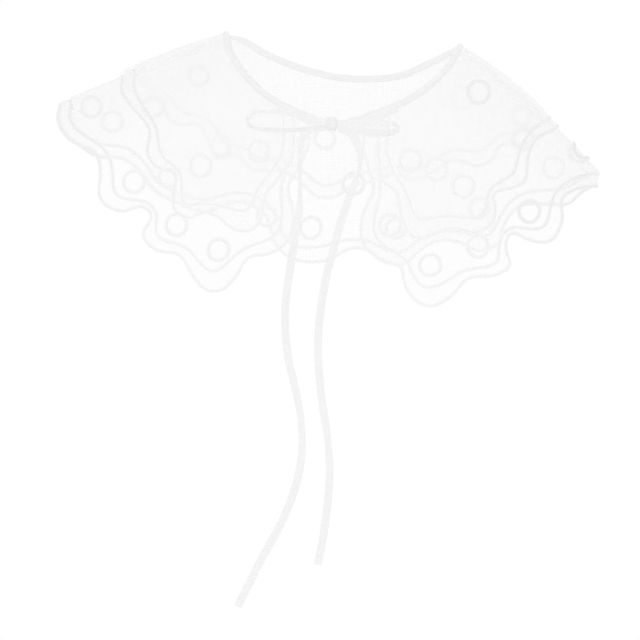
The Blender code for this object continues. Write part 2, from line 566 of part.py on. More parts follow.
def binding():
    # Neck band: front left, over the left fold, back, over the right fold and front right.
    profile = [(0.0, 0.5), (BINDING_CHAMFER, 1.0), (BINDING_WIDTH - BINDING_CHAMFER, 1.0), (BINDING_WIDTH, 0.5)]
    across = np.array([place for place, _ in profile])
    half = np.array([share for _, share in profile]) * BINDING_THICK / 2
    back_z = BINDING_THICK / 2
    front_z = 4.8 + BINDING_THICK / 2
    ribs = []

    def add(point, inward, z, facing):
        middle = np.column_stack([point + inward * across[:, None], np.full(len(across), z)])
        lift = np.array([0.0, 0.0, facing]) * half[:, None]
        ribs.append((middle + lift, middle - lift))

    def run(side, z, facing, backwards):
        edge, inward = NECK[side]
        whole = arc(edge)[-1]
        places = np.linspace(0.0, whole, int(whole / 6.0) + 1)
        if backwards:
            places = places[::-1]
        for place in places:
            point = at(edge, place)
            index = np.argmin(np.abs(arc(edge) - place))
            add(point, inward[index], z, facing)

    def turn(axis, outward, heading, backwards):
        angles = np.linspace(0.0, math.pi, FOLD_STEPS + 2)[1:-1]
        if backwards:
            angles = angles[::-1]
        for angle in angles:
            side = np.array([*(outward[0] * math.sin(angle)), math.cos(angle)])
            middle = np.column_stack([axis[0] + heading * across[:, None], np.full(len(across), 0.0)])
            middle[:, 2] = (front_z + back_z) / 2
            middle = middle + side * (front_z - back_z) / 2
            ribs.append((middle + side * half[:, None], middle - side * half[:, None]))

    run("left", front_z, 1.0, False)
    turn(AXIS_LEFT, OUT_LEFT, HEAD_LEFT, False)
    run("back", back_z, -1.0, False)
    turn(AXIS_RIGHT, OUT_RIGHT, HEAD_RIGHT, True)
    run("right", front_z, 1.0, True)
    vertices, faces = strip_mesh(ribs)
    make("neck_binding", vertices, faces, (0.93, 0.94, 0.94), 0.6)


def knot():
    # Knot of the bow: a drum along x, rounded at both ends and drawn in round its middle.
    low = np.array([KNOT[axis][0] for axis in "xyz"])
    high = np.array([KNOT[axis][1] for axis in "xyz"])
    middle, half = (low + high) / 2, (high - low) / 2
    vertices = []
    for ring in range(KNOT["rings"]):
        t = -1.0 + 2.0 * ring / (KNOT["rings"] - 1)
        size = (1.0 - 0.42 * t**4) * (KNOT["waist"] + (1.0 - KNOT["waist"]) * math.sin(math.pi * abs(t)) ** 2)
        for side in range(KNOT["sides"]):
            angle = 2.0 * math.pi * side / KNOT["sides"]
            c, s = math.cos(angle), math.sin(angle)
            y = math.copysign(abs(c) ** 0.75, c) * half[1] * size
            z = math.copysign(abs(s) ** 0.75, s) * half[2] * size
            vertices.append(middle + np.array([t * half[0], y, z]))
    count = KNOT["sides"]
    faces = []
    for ring in range(KNOT["rings"] - 1):
        for side in range(count):
            k = (side + 1) % count
            faces.append((ring * count + side, ring * count + k, (ring + 1) * count + k, (ring + 1) * count + side))
    last = (KNOT["rings"] - 1) * count
    faces.append(tuple(reversed(range(count))))
    faces.append(tuple(last + side for side in range(count)))
    make("bow_knot", vertices, faces, (0.92, 0.93, 0.93), 0.5)


def ring(name, x, y, radius, tree, start_height):
    # Embroidered ring: its lower points are the panel's own surface, moved up by the seam gap.
    vertices = []
    for i in range(RING_SEGMENTS):
        angle = 2.0 * math.pi * i / RING_SEGMENTS
        for reach in (radius - RING_STROKE / 2, radius + RING_STROKE / 2):
            px, py = x + reach * math.cos(angle), y + reach * math.sin(angle)
            start = start_height(np.array([[px, py]]))[0]
            hit = tree.ray_cast(Vector((px, py, start)), Vector((0.0, 0.0, -1.0)))[0]
            base = (hit.z if hit else start - RAY_START) + RING_GAP
            vertices += [(px, py, base), (px, py, base + RING_THICK)]
    faces = []
    for i in range(RING_SEGMENTS):
        a, b = 4 * i, 4 * ((i + 1) % RING_SEGMENTS)
        faces += [(a, b, b + 1, a + 1), (a + 1, b + 1, b + 3, a + 3)]
        faces += [(a + 3, b + 3, b + 2, a + 2), (a + 2, b + 2, b, a)]
    make(name, vertices, faces, (0.85, 0.86, 0.87), 0.5)


def clear_scene():
    for item in list(bpy.data.objects):
        bpy.data.objects.remove(item, do_unlink=True)


clear_scene()

UPPER = tier_ribs(
    {"left": UPPER_LEFT, "back": UPPER_BACK, "right": UPPER_RIGHT}, 24.0, BACK_UPPER, FRONT_UPPER, (None, None)
)
LOWER = tier_ribs(
    {"left": LOWER_LEFT, "back": LOWER_BACK, "right": LOWER_RIGHT},
    26.0,
    BACK_LOWER,
    FRONT_LOWER,
    (BACK_DROP, FRONT_DROP),
)
upper_vertices, upper_faces = strip_mesh(UPPER)
lower_vertices, lower_faces = strip_mesh(LOWER)
make("upper_tier", upper_vertices, upper_faces, (0.95, 0.96, 0.96), 0.7)
make("lower_tier", lower_vertices, lower_faces, (0.95, 0.96, 0.96), 0.7)
binding()
knot()
ribbon("bow_loop_left", LOOP_LEFT, 4.0)
ribbon("bow_loop_right", LOOP_RIGHT, 4.0)
ribbon("tie_left", TIE_LEFT, 6.0)
ribbon("tie_right", TIE_RIGHT, 6.0)
ribbon("tail_stub_left", STUB_LEFT, 2.5)
ribbon("tail_stub_right", STUB_RIGHT, 2.5)
ribbon("tail_left", TAIL_LEFT, 5.5)
ribbon("tail_right", TAIL_RIGHT, 5.5)

TREES = {
    "upper": BVHTree.FromPolygons([Vector(v) for v in upper_vertices], upper_faces),
    "lower": BVHTree.FromPolygons([Vector(v) for v in lower_vertices], lower_faces),
}
PANELS = {
    "front_upper": ("upper", FRONT_UPPER, None),
    "front_lower": ("lower", FRONT_LOWER, FRONT_DROP),
    "back_lower": ("lower", BACK_LOWER, BACK_DROP),
    "back_upper": ("upper", BACK_UPPER, None),
}
for panel_name, rings in RINGS.items():
    tree_name, level, drop = PANELS[panel_name]
    for number, (x, y, radius) in enumerate(rings, 1):
        ring(
            f"ring_{panel_name}_{number:02d}",
            x,
            y,
            radius,
            TREES[tree_name],
            lambda p, level=level, drop=drop: underside(p, level, drop) + WALL + RAY_START,
        )
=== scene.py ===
import math

import bpy
import numpy as np
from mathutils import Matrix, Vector
from mathutils.bvhtree import BVHTree


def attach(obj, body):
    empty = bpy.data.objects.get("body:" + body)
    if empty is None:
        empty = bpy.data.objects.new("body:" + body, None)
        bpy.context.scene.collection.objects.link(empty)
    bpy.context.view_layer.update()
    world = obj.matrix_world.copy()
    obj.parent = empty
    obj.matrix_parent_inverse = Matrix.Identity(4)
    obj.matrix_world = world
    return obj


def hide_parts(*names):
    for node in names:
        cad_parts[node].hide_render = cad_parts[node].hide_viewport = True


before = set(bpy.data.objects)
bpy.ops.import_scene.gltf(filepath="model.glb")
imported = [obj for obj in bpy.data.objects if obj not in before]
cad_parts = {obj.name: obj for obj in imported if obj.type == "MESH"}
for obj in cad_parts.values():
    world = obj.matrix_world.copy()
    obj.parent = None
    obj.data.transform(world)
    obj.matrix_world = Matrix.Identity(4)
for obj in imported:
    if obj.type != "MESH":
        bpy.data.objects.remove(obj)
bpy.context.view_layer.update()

# Millimetres throughout, on the same table grid as the CAD; addPiece turns them into metres in the row frame.
mm = 0.001
tableCentre = np.array([-0.2, -0.4, 0.0])


# Camera: straight down on the laid-out collar, far off, so that the layers don't spread.
camera = {
    "pixels": 640, "mmPerPixel": 0.75, "lens": 150.0, "sensor": 36.0,
    "aim": (-6.175, -112.85),  # frame millimetres under the picture's middle
}


def makeCamera(spec):
    # Height is the field's width times lens over sensor.
    data = bpy.data.cameras.new("camera")
    data.lens, data.sensor_width = spec["lens"], spec["sensor"]
    height = spec["pixels"] * spec["mmPerPixel"] * spec["lens"] / spec["sensor"]
    seen = bpy.data.objects.new("camera", data)
    seen.location = (spec["aim"][0] * mm, spec["aim"][1] * mm, height * mm)
    bpy.context.scene.collection.objects.link(seen)
    bpy.context.scene.camera = seen


makeCamera(camera)
bpy.context.scene.view_settings.view_transform = "Standard"
print("camera done")


# Curves and small vector helpers.
def unit(vectors):
    return vectors / np.linalg.norm(vectors, axis=-1, keepdims=True)


def bell(distance, width):
    # 1 at distance 0, and e to the minus square of distance over width further off.
    return np.exp(-((distance / width) ** 2))


def leftOf(heading):
    # The heading turned a quarter to the left in plan, and level.
    turned = np.zeros_like(heading)
    turned[..., 0], turned[..., 1] = -heading[..., 1], heading[..., 0]
    return turned


def hermite(t, start, end, startSlope, endSlope):
    # Cubic piece from start to end with these slopes, t from 0 to 1.
    t2, t3 = t * t, t * t * t
    piece = (2 * t3 - 3 * t2 + 1) * start + (t3 - 2 * t2 + t) * startSlope
    return piece + (3 * t2 - 2 * t3) * end + (t3 - t2) * endSlope


def slopesOf(p, gaps):
    # Slope at each row: the two chords beside it, each weighted by the other's gap; ends take their own chord.
    pull = np.diff(p, axis=0) / gaps
    middle = (gaps[1:] * pull[:-1] + gaps[:-1] * pull[1:]) / (gaps[:-1] + gaps[1:])
    return np.concatenate([pull[:1], middle, pull[-1:]])


def curveThrough(rows, step=0.5):
    # Smooth plan curve through the rows: Hermite pieces over the square roots of the chords.
    p = np.array(rows, float)
    chord = np.linalg.norm(np.diff(p[:, :2], axis=0), axis=1)
    gaps = np.sqrt(chord)[:, None]
    slope = slopesOf(p, gaps)
    counts = np.maximum(2, (chord / step).astype(int))
    piece = np.repeat(np.arange(len(counts)), counts)
    t = ((np.arange(len(piece)) - np.repeat(np.cumsum(counts) - counts, counts)) / counts[piece])[:, None]
    wide = gaps[piece]
    made = hermite(t, p[piece], p[piece + 1], wide * slope[piece], wide * slope[piece + 1])
    return np.vstack([made, p[-1:]])


def arcOf(curve, columns=2):
    # Distance along the curve at each of its points, measured over its first columns.
    return np.concatenate([[0.0], np.cumsum(np.linalg.norm(np.diff(curve[:, :columns], axis=0), axis=1))])


def sampled(places, along, table):
    # The columns of a table, given at the distances along, read at these places.
    return np.stack([np.interp(places, along, column) for column in table.T], axis=-1)


def at(curve, distance):
    # The curve's columns at these distances along it.
    return sampled(np.asarray(distance, float), arcOf(curve), curve)


def blurred(values, along, width):
    # Average of the values along the curve with a bell of this width.
    weight = np.exp(-0.5 * ((along[:, None] - along[None, :]) / width) ** 2) * np.gradient(along)[None, :]
    return weight @ values / weight.sum(axis=1, keepdims=True)


def nearest(curve, point):
    # Distance along the curve of its point nearest to this one.
    return arcOf(curve)[np.argmin(np.linalg.norm(curve[:, :2] - np.array(point[:2]), axis=1))]


def inwardOf(curve, side, width):
    # Unit plan direction square to the curve, on its left for side 1, smoothed over this width.
    return side * leftOf(unit(blurred(np.gradient(curve[:, :2], axis=0), arcOf(curve), width)))


# Mesh helpers.
def gridFaces(rows, columns, closed=False):
    # Quads of a rows x columns grid, each face's corners as (row, column) with the last column past the seam.
    i, j = np.meshgrid(np.arange(rows - 1), np.arange(columns if closed else columns - 1), indexing="ij")
    i, j = i.ravel(), j.ravel()
    around = ((0, 0), (1, 0), (1, 1), (0, 1))
    corners = np.stack([np.stack([i + down, j + right], 1) for down, right in around], 1)
    return corners[:, :, 0] * columns + corners[:, :, 1] % columns, corners


def evenUv(lengths, girths):
    # UV of a grid in metres, from each row's and each column's distance in millimetres.
    return np.stack(np.meshgrid(lengths, girths, indexing="ij"), axis=-1) * mm


def skin(points, middles, uv, joined=False):
    # Shape over a grid of points closed around: a tube with a cap at each end, or joined in a ring. Its
    # faces are turned away from each row's middle.
    rows, around = points.shape[:2]
    faces, corners = gridFaces(rows + joined, around, closed=True)
    faces = faces % (rows * around)
    caps = [] if joined else [range(around), range(rows * around - 1, (rows - 1) * around - 1, -1)]
    flat = points.reshape(-1, 3)
    a, b, c = (flat[faces[:, k]] for k in range(3))
    outward = a - np.repeat(middles, around, axis=0)[:len(faces)]
    if np.einsum("ij,ij->i", np.cross(b - a, c - a), outward).sum() < 0:
        faces, corners, caps = faces[:, ::-1], corners[:, ::-1], [tuple(reversed(cap)) for cap in caps]
    return flat, faces, corners, uv, caps


def tube(line, across, over, profile, scale=None, girth=None, joined=False):
    # Surface along a line: point (i, j) is line i plus profile j's two columns times across i and over i.
    scale = np.ones(len(line)) if scale is None else scale
    shape = profile[None, :, :] * scale[:, None, None]
    points = line[:, None] + across[:, None] * shape[:, :, :1] + over[:, None] * shape[:, :, 1:]
    length = arcOf(np.vstack([line, line[:1]]) if joined else line, 3)
    girth = arcOf(np.vstack([profile, profile[:1]])) if girth is None else girth
    return skin(points, line, evenUv(length, girth), joined)


def addPiece(name, shape, material, nodes=()):
    # Mesh from a shape: points, grid faces, their corners on the grid, its UV in metres, and end caps. Rims
    # stay crisp, since a normal smoothed round a rim would darken it. The real layers touch, so the gaps
    # drawn between them cast no shadows on the layers below.
    points, faces, corners, uv, caps = shape
    allFaces = [list(face) for face in faces] + [list(cap) for cap in caps]
    mesh = bpy.data.meshes.new(name)
    mesh.from_pydata(((points - tableCentre) * mm).tolist(), [], allFaces)
    layer = mesh.uv_layers.new(name="cut")
    values = uv[corners[:, :, 0], corners[:, :, 1]].reshape(-1, 2)
    values = np.vstack([values, np.zeros((sum(len(cap) for cap in caps), 2))])
    layer.data.foreach_set("uv", values.astype(np.float32).ravel())
    mesh.polygons.foreach_set("use_smooth", np.arange(len(allFaces)) < len(faces))
    mesh.materials.append(material)
    mesh.validate()
    mesh.update()
    mesh.set_sharp_from_angle(angle=math.radians(50))
    piece = bpy.data.objects.new(name, mesh)
    bpy.context.scene.collection.objects.link(piece)
    piece.visible_shadow = piece.visible_diffuse = piece.visible_transmission = False
    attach(piece, "root")
    if nodes:
        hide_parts(*nodes)
    return piece


def setShare(piece, name, values):
    # Gives each point of the mesh its own value.
    attribute = piece.data.attributes.new(name, "FLOAT", "POINT")
    attribute.data.foreach_set("value", np.asarray(values, np.float32))


# Materials.
def hexColour(code):
    # sRGB hex to linear, with alpha 1.
    value = np.array([int(code[k:k + 2], 16) / 255 for k in (1, 3, 5)])
    linear = np.where(value <= 0.04045, value / 12.92, ((value + 0.055) / 1.055) ** 2.4)
    return (*linear.tolist(), 1.0)


def addNode(tree, kind, inputs=(), output=0, **settings):
    # One node's output. Settings are the node's own properties. Its inputs, by place or by name, are linked
    # where another node gives them, and set where they are plain values.
    node = tree.nodes.new("ShaderNode" + kind)
    for key, value in settings.items():
        setattr(node, key, value)
    for key, value in inputs.items() if isinstance(inputs, dict) else enumerate(inputs):
        if isinstance(value, bpy.types.NodeSocket):
            tree.links.new(value, node.inputs[key])
        else:
            node.inputs[key].default_value = value
    return node.outputs[output] if node.outputs else None


def newMaterial(name):
    # An empty material and its tree.
    made = bpy.data.materials.new(name)
    made.use_nodes = True
    made.node_tree.nodes.clear()
    return made, made.node_tree


def cutPlace(tree):
    # The place on the flat cut, then its distance along the piece and across or round it.
    place = addNode(tree, "UVMap", uv_map="cut")
    return place, *addNode(tree, "SeparateXYZ", [place]).node.outputs[:2]


def wave(tree, source, pitch):
    # From 0 to 1 and back once in each pitch.
    turns = addNode(tree, "Math", [source, 2 * math.pi / (pitch * mm)], operation="MULTIPLY")
    swing = addNode(tree, "Math", [turns], operation="SINE")
    return addNode(tree, "Math", [swing, 0.5, 0.5], operation="MULTIPLY_ADD")


def summed(tree, first, second, times):
    # Both patterns, each times its own number.
    second = addNode(tree, "Math", [second, times[1]], operation="MULTIPLY")
    return addNode(tree, "Math", [first, times[0], second], operation="MULTIPLY_ADD")


def grooveShadedTint(tree, look, pattern, patch):
    # The look's darker colour where the sum of both, each times its weight, is 0, and its own colour at 1. The
    # pattern's part is painted shade in the grooves between threads and a painted highlight on their crests;
    # the patch's part is tone that differs at random.
    colours = {6: hexColour(look["darker"]), 7: hexColour(look["colour"])}
    shade = summed(tree, pattern, patch, look["grooveShadeAndPatch"])
    return addNode(tree, "Mix", {0: shade, **colours}, 2, data_type="RGBA")


def acrossBand(tree, around, width):
    # -1 at one edge of a band to 1 at the other, on both of its sides; around runs round the band.
    folded = addNode(tree, "Math", [around, width * mm], operation="PINGPONG")
    side = addNode(tree, "Math", [folded, width / 2 * mm], operation="SUBTRACT")
    return addNode(tree, "Math", [side, 2 / (width * mm)], operation="MULTIPLY")


def threadLight(tree, look, tint, height):
    # Light from thread: its gloss and sheen over a raised weave, and a share that passes through it.
    relief = {"Strength": look["relief"], "Distance": look["depth"] * mm, "Height": height}
    bump = addNode(tree, "Bump", relief)
    light = addNode(tree, "BsdfPrincipled", {**look["gloss"], "Base Color": tint, "Normal": bump})
    if "through" in look:
        behind = addNode(tree, "BsdfTranslucent", {"Color": tint, "Normal": bump})
        light = addNode(tree, "MixShader", [look["through"], light, behind])
    return light


def closeMaterial(tree, light, share=None):
    # Ends a material; where share is given, the rest is the clear gap between threads.
    if share is not None:
        light = addNode(tree, "MixShader", [share, addNode(tree, "BsdfTransparent"), light])
    addNode(tree, "OutputMaterial", {"Surface": light})


organzaLook = {
    "colour": "#F0F0F0",  # undyed white silk or polyester filament
    "pitch": 0.9,  # real threads lie 0.15 mm apart; drawn six times coarser so that they show
    "slub": 26.0, "slubThreads": 1.6,  # length of the thicker stretches, and their width in threads
    "cloud": 45.0,  # size of the thinner and denser patches
    "even": 0.57, "uneven": (0.18, 0.36, 0.24),  # thread everywhere, and more of it by weave, slub and cloud
    "cover": 0.2392,  # share of the cloth that is thread; the rest is the gaps between threads
    "relief": 0.25, "depth": 0.2, "through": 0.42,
    "gloss": {"Roughness": 0.5, "Specular IOR Level": 0.35, "Sheen Weight": 0.15, "Sheen Roughness": 0.4},
}
stitchLook = {
    "wander": 0.9, "patch": 3.0,  # how far ridges stray, in pitches, and over what length
    "grooveShadeAndPatch": (0.75, 0.5),  # painted highlight on each ridge and painted shade between the ridges, and tone that differs at random by patch
    "paintedDarkness": 0.06, "pale": 0.4, "sheer": 0.92,  # darker by the mesh's darkness value times this, painted shade and painted light near the folds; paler and sheerer at the sides
    "relief": 0.6,
}
satinLook = {
    **stitchLook, "colour": "#EEEEEE", "darker": "#E6E6E6", "pitch": 0.9, "slant": 0.35, "depth": 0.08,
    "width": 3.4,
    "gloss": {"Roughness": 0.45, "Specular IOR Level": 0.4, "Sheen Weight": 0.1},
}
sewingLook = {
    **stitchLook, "colour": "#F0F0F0", "darker": "#D8D8D8", "pitch": 0.6, "slant": 1.0, "depth": 0.1,
    "gloss": {"Roughness": 0.5, "Specular IOR Level": 0.4, "Sheen Weight": 0.1},
}
bandLook = {
    "width": 6.0, "edge": 6.0,  # the higher, the narrower the dense edges
    # The colour's weights here: painted shade between the woven threads, and tone that differs at random by
    # patch.
    "crossPitch": 1.3, "weave": (0.35, 0.65), "grooveShadeAndPatch": (0.55, 0.6), "patch": 9.0, "filled": 0.5,
    "relief": 0.5, "depth": 0.25, "through": 0.4,
    "gloss": {"Roughness": 0.42, "Specular IOR Level": 0.45, "Sheen Weight": 0.15},
}


def sheerCloth(name, look):
    # Woven organza: crisp filament threads with gaps between them. It gives the eye a faint even veil that
    # thickens where layers lie on each other. Threads pass light as well as scatter it.
    made, tree = newMaterial(name)
    place, along, across = cutPlace(tree)
    threads = [wave(tree, source, look["pitch"]) for source in (along, across)]
    weave = addNode(tree, "Math", threads, operation="MAXIMUM")
    slubs = []
    for short in (0, 1):
        scale = [1 / (look["slub"] * mm), 1 / (look["slub"] * mm), 0.0]
        scale[short] = 1 / (look["pitch"] * look["slubThreads"] * mm)
        stretched = addNode(tree, "Mapping", {"Scale": scale, "Vector": place})
        slubs.append(addNode(tree, "TexNoise", {"Scale": 1.0, "Detail": 1.0, "Vector": stretched}))
    slub = addNode(tree, "Math", [addNode(tree, "Math", slubs, operation="ADD"), 0.5], operation="MULTIPLY")
    cloud = addNode(tree, "TexNoise", {"Scale": 1 / (look["cloud"] * mm), "Detail": 2.0, "Vector": place})
    cover = look["even"]
    for part, times in zip((weave, slub, cloud), look["uneven"]):
        cover = addNode(tree, "Math", [part, times, cover], operation="MULTIPLY_ADD")
    for times in (look["cover"], addNode(tree, "Attribute", output="Fac", attribute_name="threadShare")):
        cover = addNode(tree, "Math", [cover, times], operation="MULTIPLY")
    raised = addNode(tree, "Math", [weave, slub], operation="ADD")
    closeMaterial(tree, threadLight(tree, look, hexColour(look["colour"]), raised), cover)
    return made


def threadWork(name, look):
    # Polished thread laid side by side: fine ridges across the work, each with a painted highlight on its
    # crest and painted shade in the groove beside it, over a bump that the gloss catches. UV x runs along the
    # work and y round it, and the ridges lean by slant. Work with a width pales and thins out towards both
    # sides, so that it fades softly into the cloth. The mesh's values: where its darkness value rises to 1 the
    # work is painted darker, and below 0 paler, which is painted shade and painted light near and over the
    # shoulder folds, and a darker tone on some rings; where "turned" rises to 1 the work goes over a fold, is
    # seen end on and has no sheer sides.
    made, tree = newMaterial(name)
    place, along, around = cutPlace(tree)
    patch = addNode(tree, "TexNoise", {"Scale": 1 / (look["patch"] * mm), "Detail": 2.0, "Vector": place})
    leaned = addNode(tree, "Math", [around, look["slant"], along], operation="MULTIPLY_ADD")
    stray = look["pitch"] * look["wander"] * mm
    strayed = addNode(tree, "Math", [patch, stray, leaned], operation="MULTIPLY_ADD")
    ridges = wave(tree, strayed, look["pitch"])
    paintedDarkness = addNode(tree, "Attribute", output="Fac", attribute_name="paintedDarkness")
    paintedDarkness = addNode(tree, "Math", [paintedDarkness, look["paintedDarkness"]], operation="MULTIPLY")
    darkening = {0: paintedDarkness, 6: grooveShadedTint(tree, look, ridges, patch), 7: hexColour("#000000")}
    tint = addNode(tree, "Mix", darkening, 2, data_type="RGBA", clamp_factor=False)
    share = None
    if "width" in look:
        side = acrossBand(tree, around, look["width"])
        side = addNode(tree, "Math", [side, side], operation="MULTIPLY")
        pale = addNode(tree, "Math", [side, look["pale"]], operation="MULTIPLY")
        tint = addNode(tree, "Mix", {0: pale, 6: tint, 7: hexColour("#FFFFFF")}, 2, data_type="RGBA")
        share = addNode(tree, "Math", [side, -look["sheer"], 1.0], operation="MULTIPLY_ADD")
        turned = addNode(tree, "Attribute", output="Fac", attribute_name="turned")
        share = addNode(tree, "Math", [share, turned], operation="MAXIMUM")
    closeMaterial(tree, threadLight(tree, look, tint, ridges), share)
    return made


def wovenBand(name, look):
    # Narrow woven ribbon or folded strip: close threads across it, a denser edge on each side, a little light
    # passing between the threads. Its colour is painted darker between the threads, painted shade of the
    # weave, and differs at random by patch. UV y runs round the band.
    made, tree = newMaterial(name)
    place, along, around = cutPlace(tree)
    cross = wave(tree, around, look["pitch"] * look["crossPitch"])
    weave = summed(tree, cross, wave(tree, along, look["pitch"]), look["weave"])
    patch = addNode(tree, "TexNoise", {"Scale": 1 / (look["patch"] * mm), "Detail": 3.0, "Vector": place})
    side = addNode(tree, "Math", [acrossBand(tree, around, look["width"])], operation="ABSOLUTE")
    side = addNode(tree, "Math", [side, 1.0, 0.1], operation="SMOOTH_MIN")
    edge = addNode(tree, "Math", [side, look["edge"]], operation="POWER")
    filled = addNode(tree, "Math", [weave, look["filled"]], operation="MULTIPLY")
    filled = addNode(tree, "Math", [edge, filled], operation="ADD")
    share = addNode(tree, "Math", [filled, 1 - look["cover"], look["cover"]], operation="MULTIPLY_ADD")
    share = addNode(tree, "Math", [share, 1.0], operation="MINIMUM")
    closeMaterial(tree, threadLight(tree, look, grooveShadedTint(tree, look, weave, patch), weave), share)
    return made


organza = sheerCloth("sheer_organza", organzaLook)
satinStitch = threadWork("satin_stitch_thread", satinLook)
sewingThread = threadWork("sewing_thread", sewingLook)
knotCloth, ribbonCloth, bindingCloth = (
    wovenBand(name, {**bandLook, "colour": colour, "darker": darker, "cover": cover, "pitch": pitch})
    for name, colour, darker, cover, pitch in (
        ("tight_ribbon_folds", "#F1F1F1", "#E6E6E6", 1.0, 0.9),
        ("woven_ribbon", "#F3F3F3", "#E9E9E9", 0.74, 0.9),
        ("folded_organza_binding", "#F4F4F4", "#E5E5E5", 0.82, 0.8),
    )
)
print("materials done")


# Ribbon pieces. Rows: x, y, z of the ribbon's middle in metres in the row frame, roll in degrees (0 is flat).
ribbon = {
    "width": 6.0, "half": 0.17, "bead": 0.13, "beadWidth": 0.14, "cup": 0.26,
    "even": 3.0,  # length over which height and roll are rounded off
    "sway": 0.05, "swayLengths": (11.0, 47.0),  # a slight uneven roll in radians
}
tails = {
    "tail_left": [
        (-0.0202, 0.0218, 0.0074, 0), (-0.0210, 0.0134, 0.0092, 45), (-0.0213, 0.0044, 0.01, 70),
        (-0.0213, -0.0096, 0.01, 70), (-0.0214, -0.0216, 0.0098, 60), (-0.0220, -0.0326, 0.0086, 25),
        (-0.0238, -0.0456, 0.0074, 0), (-0.0260, -0.0576, 0.006, 0), (-0.0278, -0.0696, 0.0034, 0),
        (-0.0296, -0.0816, 0.0012, 0), (-0.0318, -0.0976, 0.00055, 0), (-0.0323, -0.1176, 0.00055, 0),
        (-0.0298, -0.1421, 0.00055, 0), (-0.0243, -0.1666, 0.0016, 20), (-0.0203, -0.1906, 0.0024, 40),
        (-0.0203, -0.2156, 0.0016, 20), (-0.0248, -0.2386, 0.00055, 0), (-0.0353, -0.2651, 0.00055, 0),
        (-0.0503, -0.2926, 0.00055, 0), (-0.0678, -0.3276, 0.00055, 0),
    ],
    "tail_right": [
        (0.0213, 0.0198, 0.0074, 0), (0.0232, 0.0114, 0.0092, 45), (0.0235, 0.0024, 0.01, 70),
        (0.0208, -0.0071, 0.0096, 60), (0.0166, -0.0186, 0.0076, 25), (0.0122, -0.0306, 0.0056, 0),
        (0.0076, -0.0456, 0.0043, 0), (0.0037, -0.0606, 0.0032, 0), (0.0014, -0.0691, 0.0027, 0),
        (-0.0011, -0.0786, 0.0015, 0), (-0.0030, -0.0886, 0.0007, 0), (-0.0050, -0.1006, 0.00055, 0),
        (-0.0072, -0.1196, 0.00055, 0), (-0.0076, -0.1396, 0.00055, 0), (-0.0048, -0.1726, 0.0007, 0),
        (-0.0006, -0.2016, 0.0023, 35), (0.0010, -0.2276, 0.0009, 5), (-0.0023, -0.2656, 0.00055, 0),
        (-0.0078, -0.2966, 0.00055, 0),
    ],
}
bowRibbons = {
    "bow_loop_left": [
        (-0.0036, 0.0364, 0.0123, 66), (-0.0148, 0.0384, 0.0123, 66), (-0.0288, 0.0414, 0.0123, 66),
        (-0.0448, 0.0428, 0.0123, 66), (-0.0563, 0.0414, 0.0123, 66), (-0.0606, 0.0360, 0.0123, 66),
        (-0.0573, 0.0308, 0.0123, 66), (-0.0448, 0.0288, 0.0123, 66), (-0.0288, 0.0285, 0.0123, 66),
        (-0.0148, 0.0296, 0.0123, 66), (-0.0036, 0.0314, 0.0123, 66),
    ],
    "bow_loop_right": [
        (0.0075, 0.0334, 0.0122, -14), (0.0172, 0.0339, 0.0119, -12), (0.0302, 0.0341, 0.0114, -22),
        (0.0422, 0.0340, 0.0115, -30), (0.0500, 0.0330, 0.0121, -60), (0.0525, 0.0303, 0.0123, -76),
        (0.0500, 0.0276, 0.0121, -60), (0.0422, 0.0266, 0.0115, -30), (0.0302, 0.0270, 0.0112, -22),
        (0.0172, 0.0288, 0.0106, -8), (0.0075, 0.0310, 0.0108, -6),
    ],
    "tie_left": [
        (-0.0384, 0.0466, 0.0084, 0), (-0.0268, 0.0420, 0.0084, 0), (-0.0148, 0.0370, 0.0084, 0),
        (-0.0044, 0.0338, 0.0084, 0),
    ],
    "tie_right": [
        (0.0082, 0.0318, 0.0084, 0), (0.0182, 0.0330, 0.0084, 0), (0.0342, 0.0382, 0.0084, 0),
        (0.0516, 0.0452, 0.0084, 0),
    ],
    "tail_stub_left": [
        (-0.0034, 0.0314, 0.0071, 0), (-0.0093, 0.0304, 0.0071, 0), (-0.0153, 0.0282, 0.0073, 0),
        (-0.0190, 0.0240, 0.0077, 0), (-0.0203, 0.0208, 0.0082, 0),
    ],
    "tail_stub_right": [
        (0.0076, 0.0304, 0.0071, 0), (0.0122, 0.0290, 0.0071, 0), (0.0172, 0.0260, 0.0073, 0),
        (0.0204, 0.0218, 0.0077, 0), (0.0215, 0.0190, 0.0082, 0),
    ],
}


def ribbonLine(rows, step):
    # Smooth plan line; height and roll go straight from row to row and are then rounded off.
    rows = np.array(rows) / (mm, mm, mm, 1.0) + (*tableCentre, 0.0)
    curve = curveThrough(rows)
    along = arcOf(curve)
    steep = sampled(along, [nearest(curve, row) for row in rows], rows[:, 2:4])
    soft = blurred(steep, along, ribbon["even"])
    soft[0], soft[-1] = steep[0], steep[-1]
    curve[:, 2:4] = soft
    return at(curve, np.linspace(0.0, along[-1], int(along[-1] / step) + 1))


def makeRibbon(name, rows, step):
    # Band carried along its line and turned by roll. Its section is a thin crowned strip whose two woven
    # edges are a little thicker; the crown drops each edge by cup.
    line = ribbonLine(rows, step)
    heading = unit(np.gradient(line[:, :3], axis=0))
    level = unit(leftOf(heading))
    along = arcOf(line)
    quick, slow = ribbon["swayLengths"]
    roll = np.radians(line[:, 3]) + ribbon["sway"] * np.sin(along / quick + 2.0) * np.sin(along / slow)
    across = level * np.cos(roll)[:, None] + np.cross(heading, level) * np.sin(roll)[:, None]
    wide = np.linspace(-1.0, 1.0, 11)
    thick = ribbon["half"] + ribbon["bead"] * bell(1 - np.abs(wide), ribbon["beadWidth"])
    crown = -ribbon["cup"] * wide**2
    profile = np.stack([
        np.append(wide, wide[::-1]) * ribbon["width"] / 2, np.append(crown + thick, (crown - thick)[::-1]),
    ], axis=1)
    shape = tube(line[:, :3], across, np.cross(heading, across), profile)
    return addPiece(name + "_cloth", shape, ribbonCloth, [name]), (line[:, :3] - tableCentre) * mm


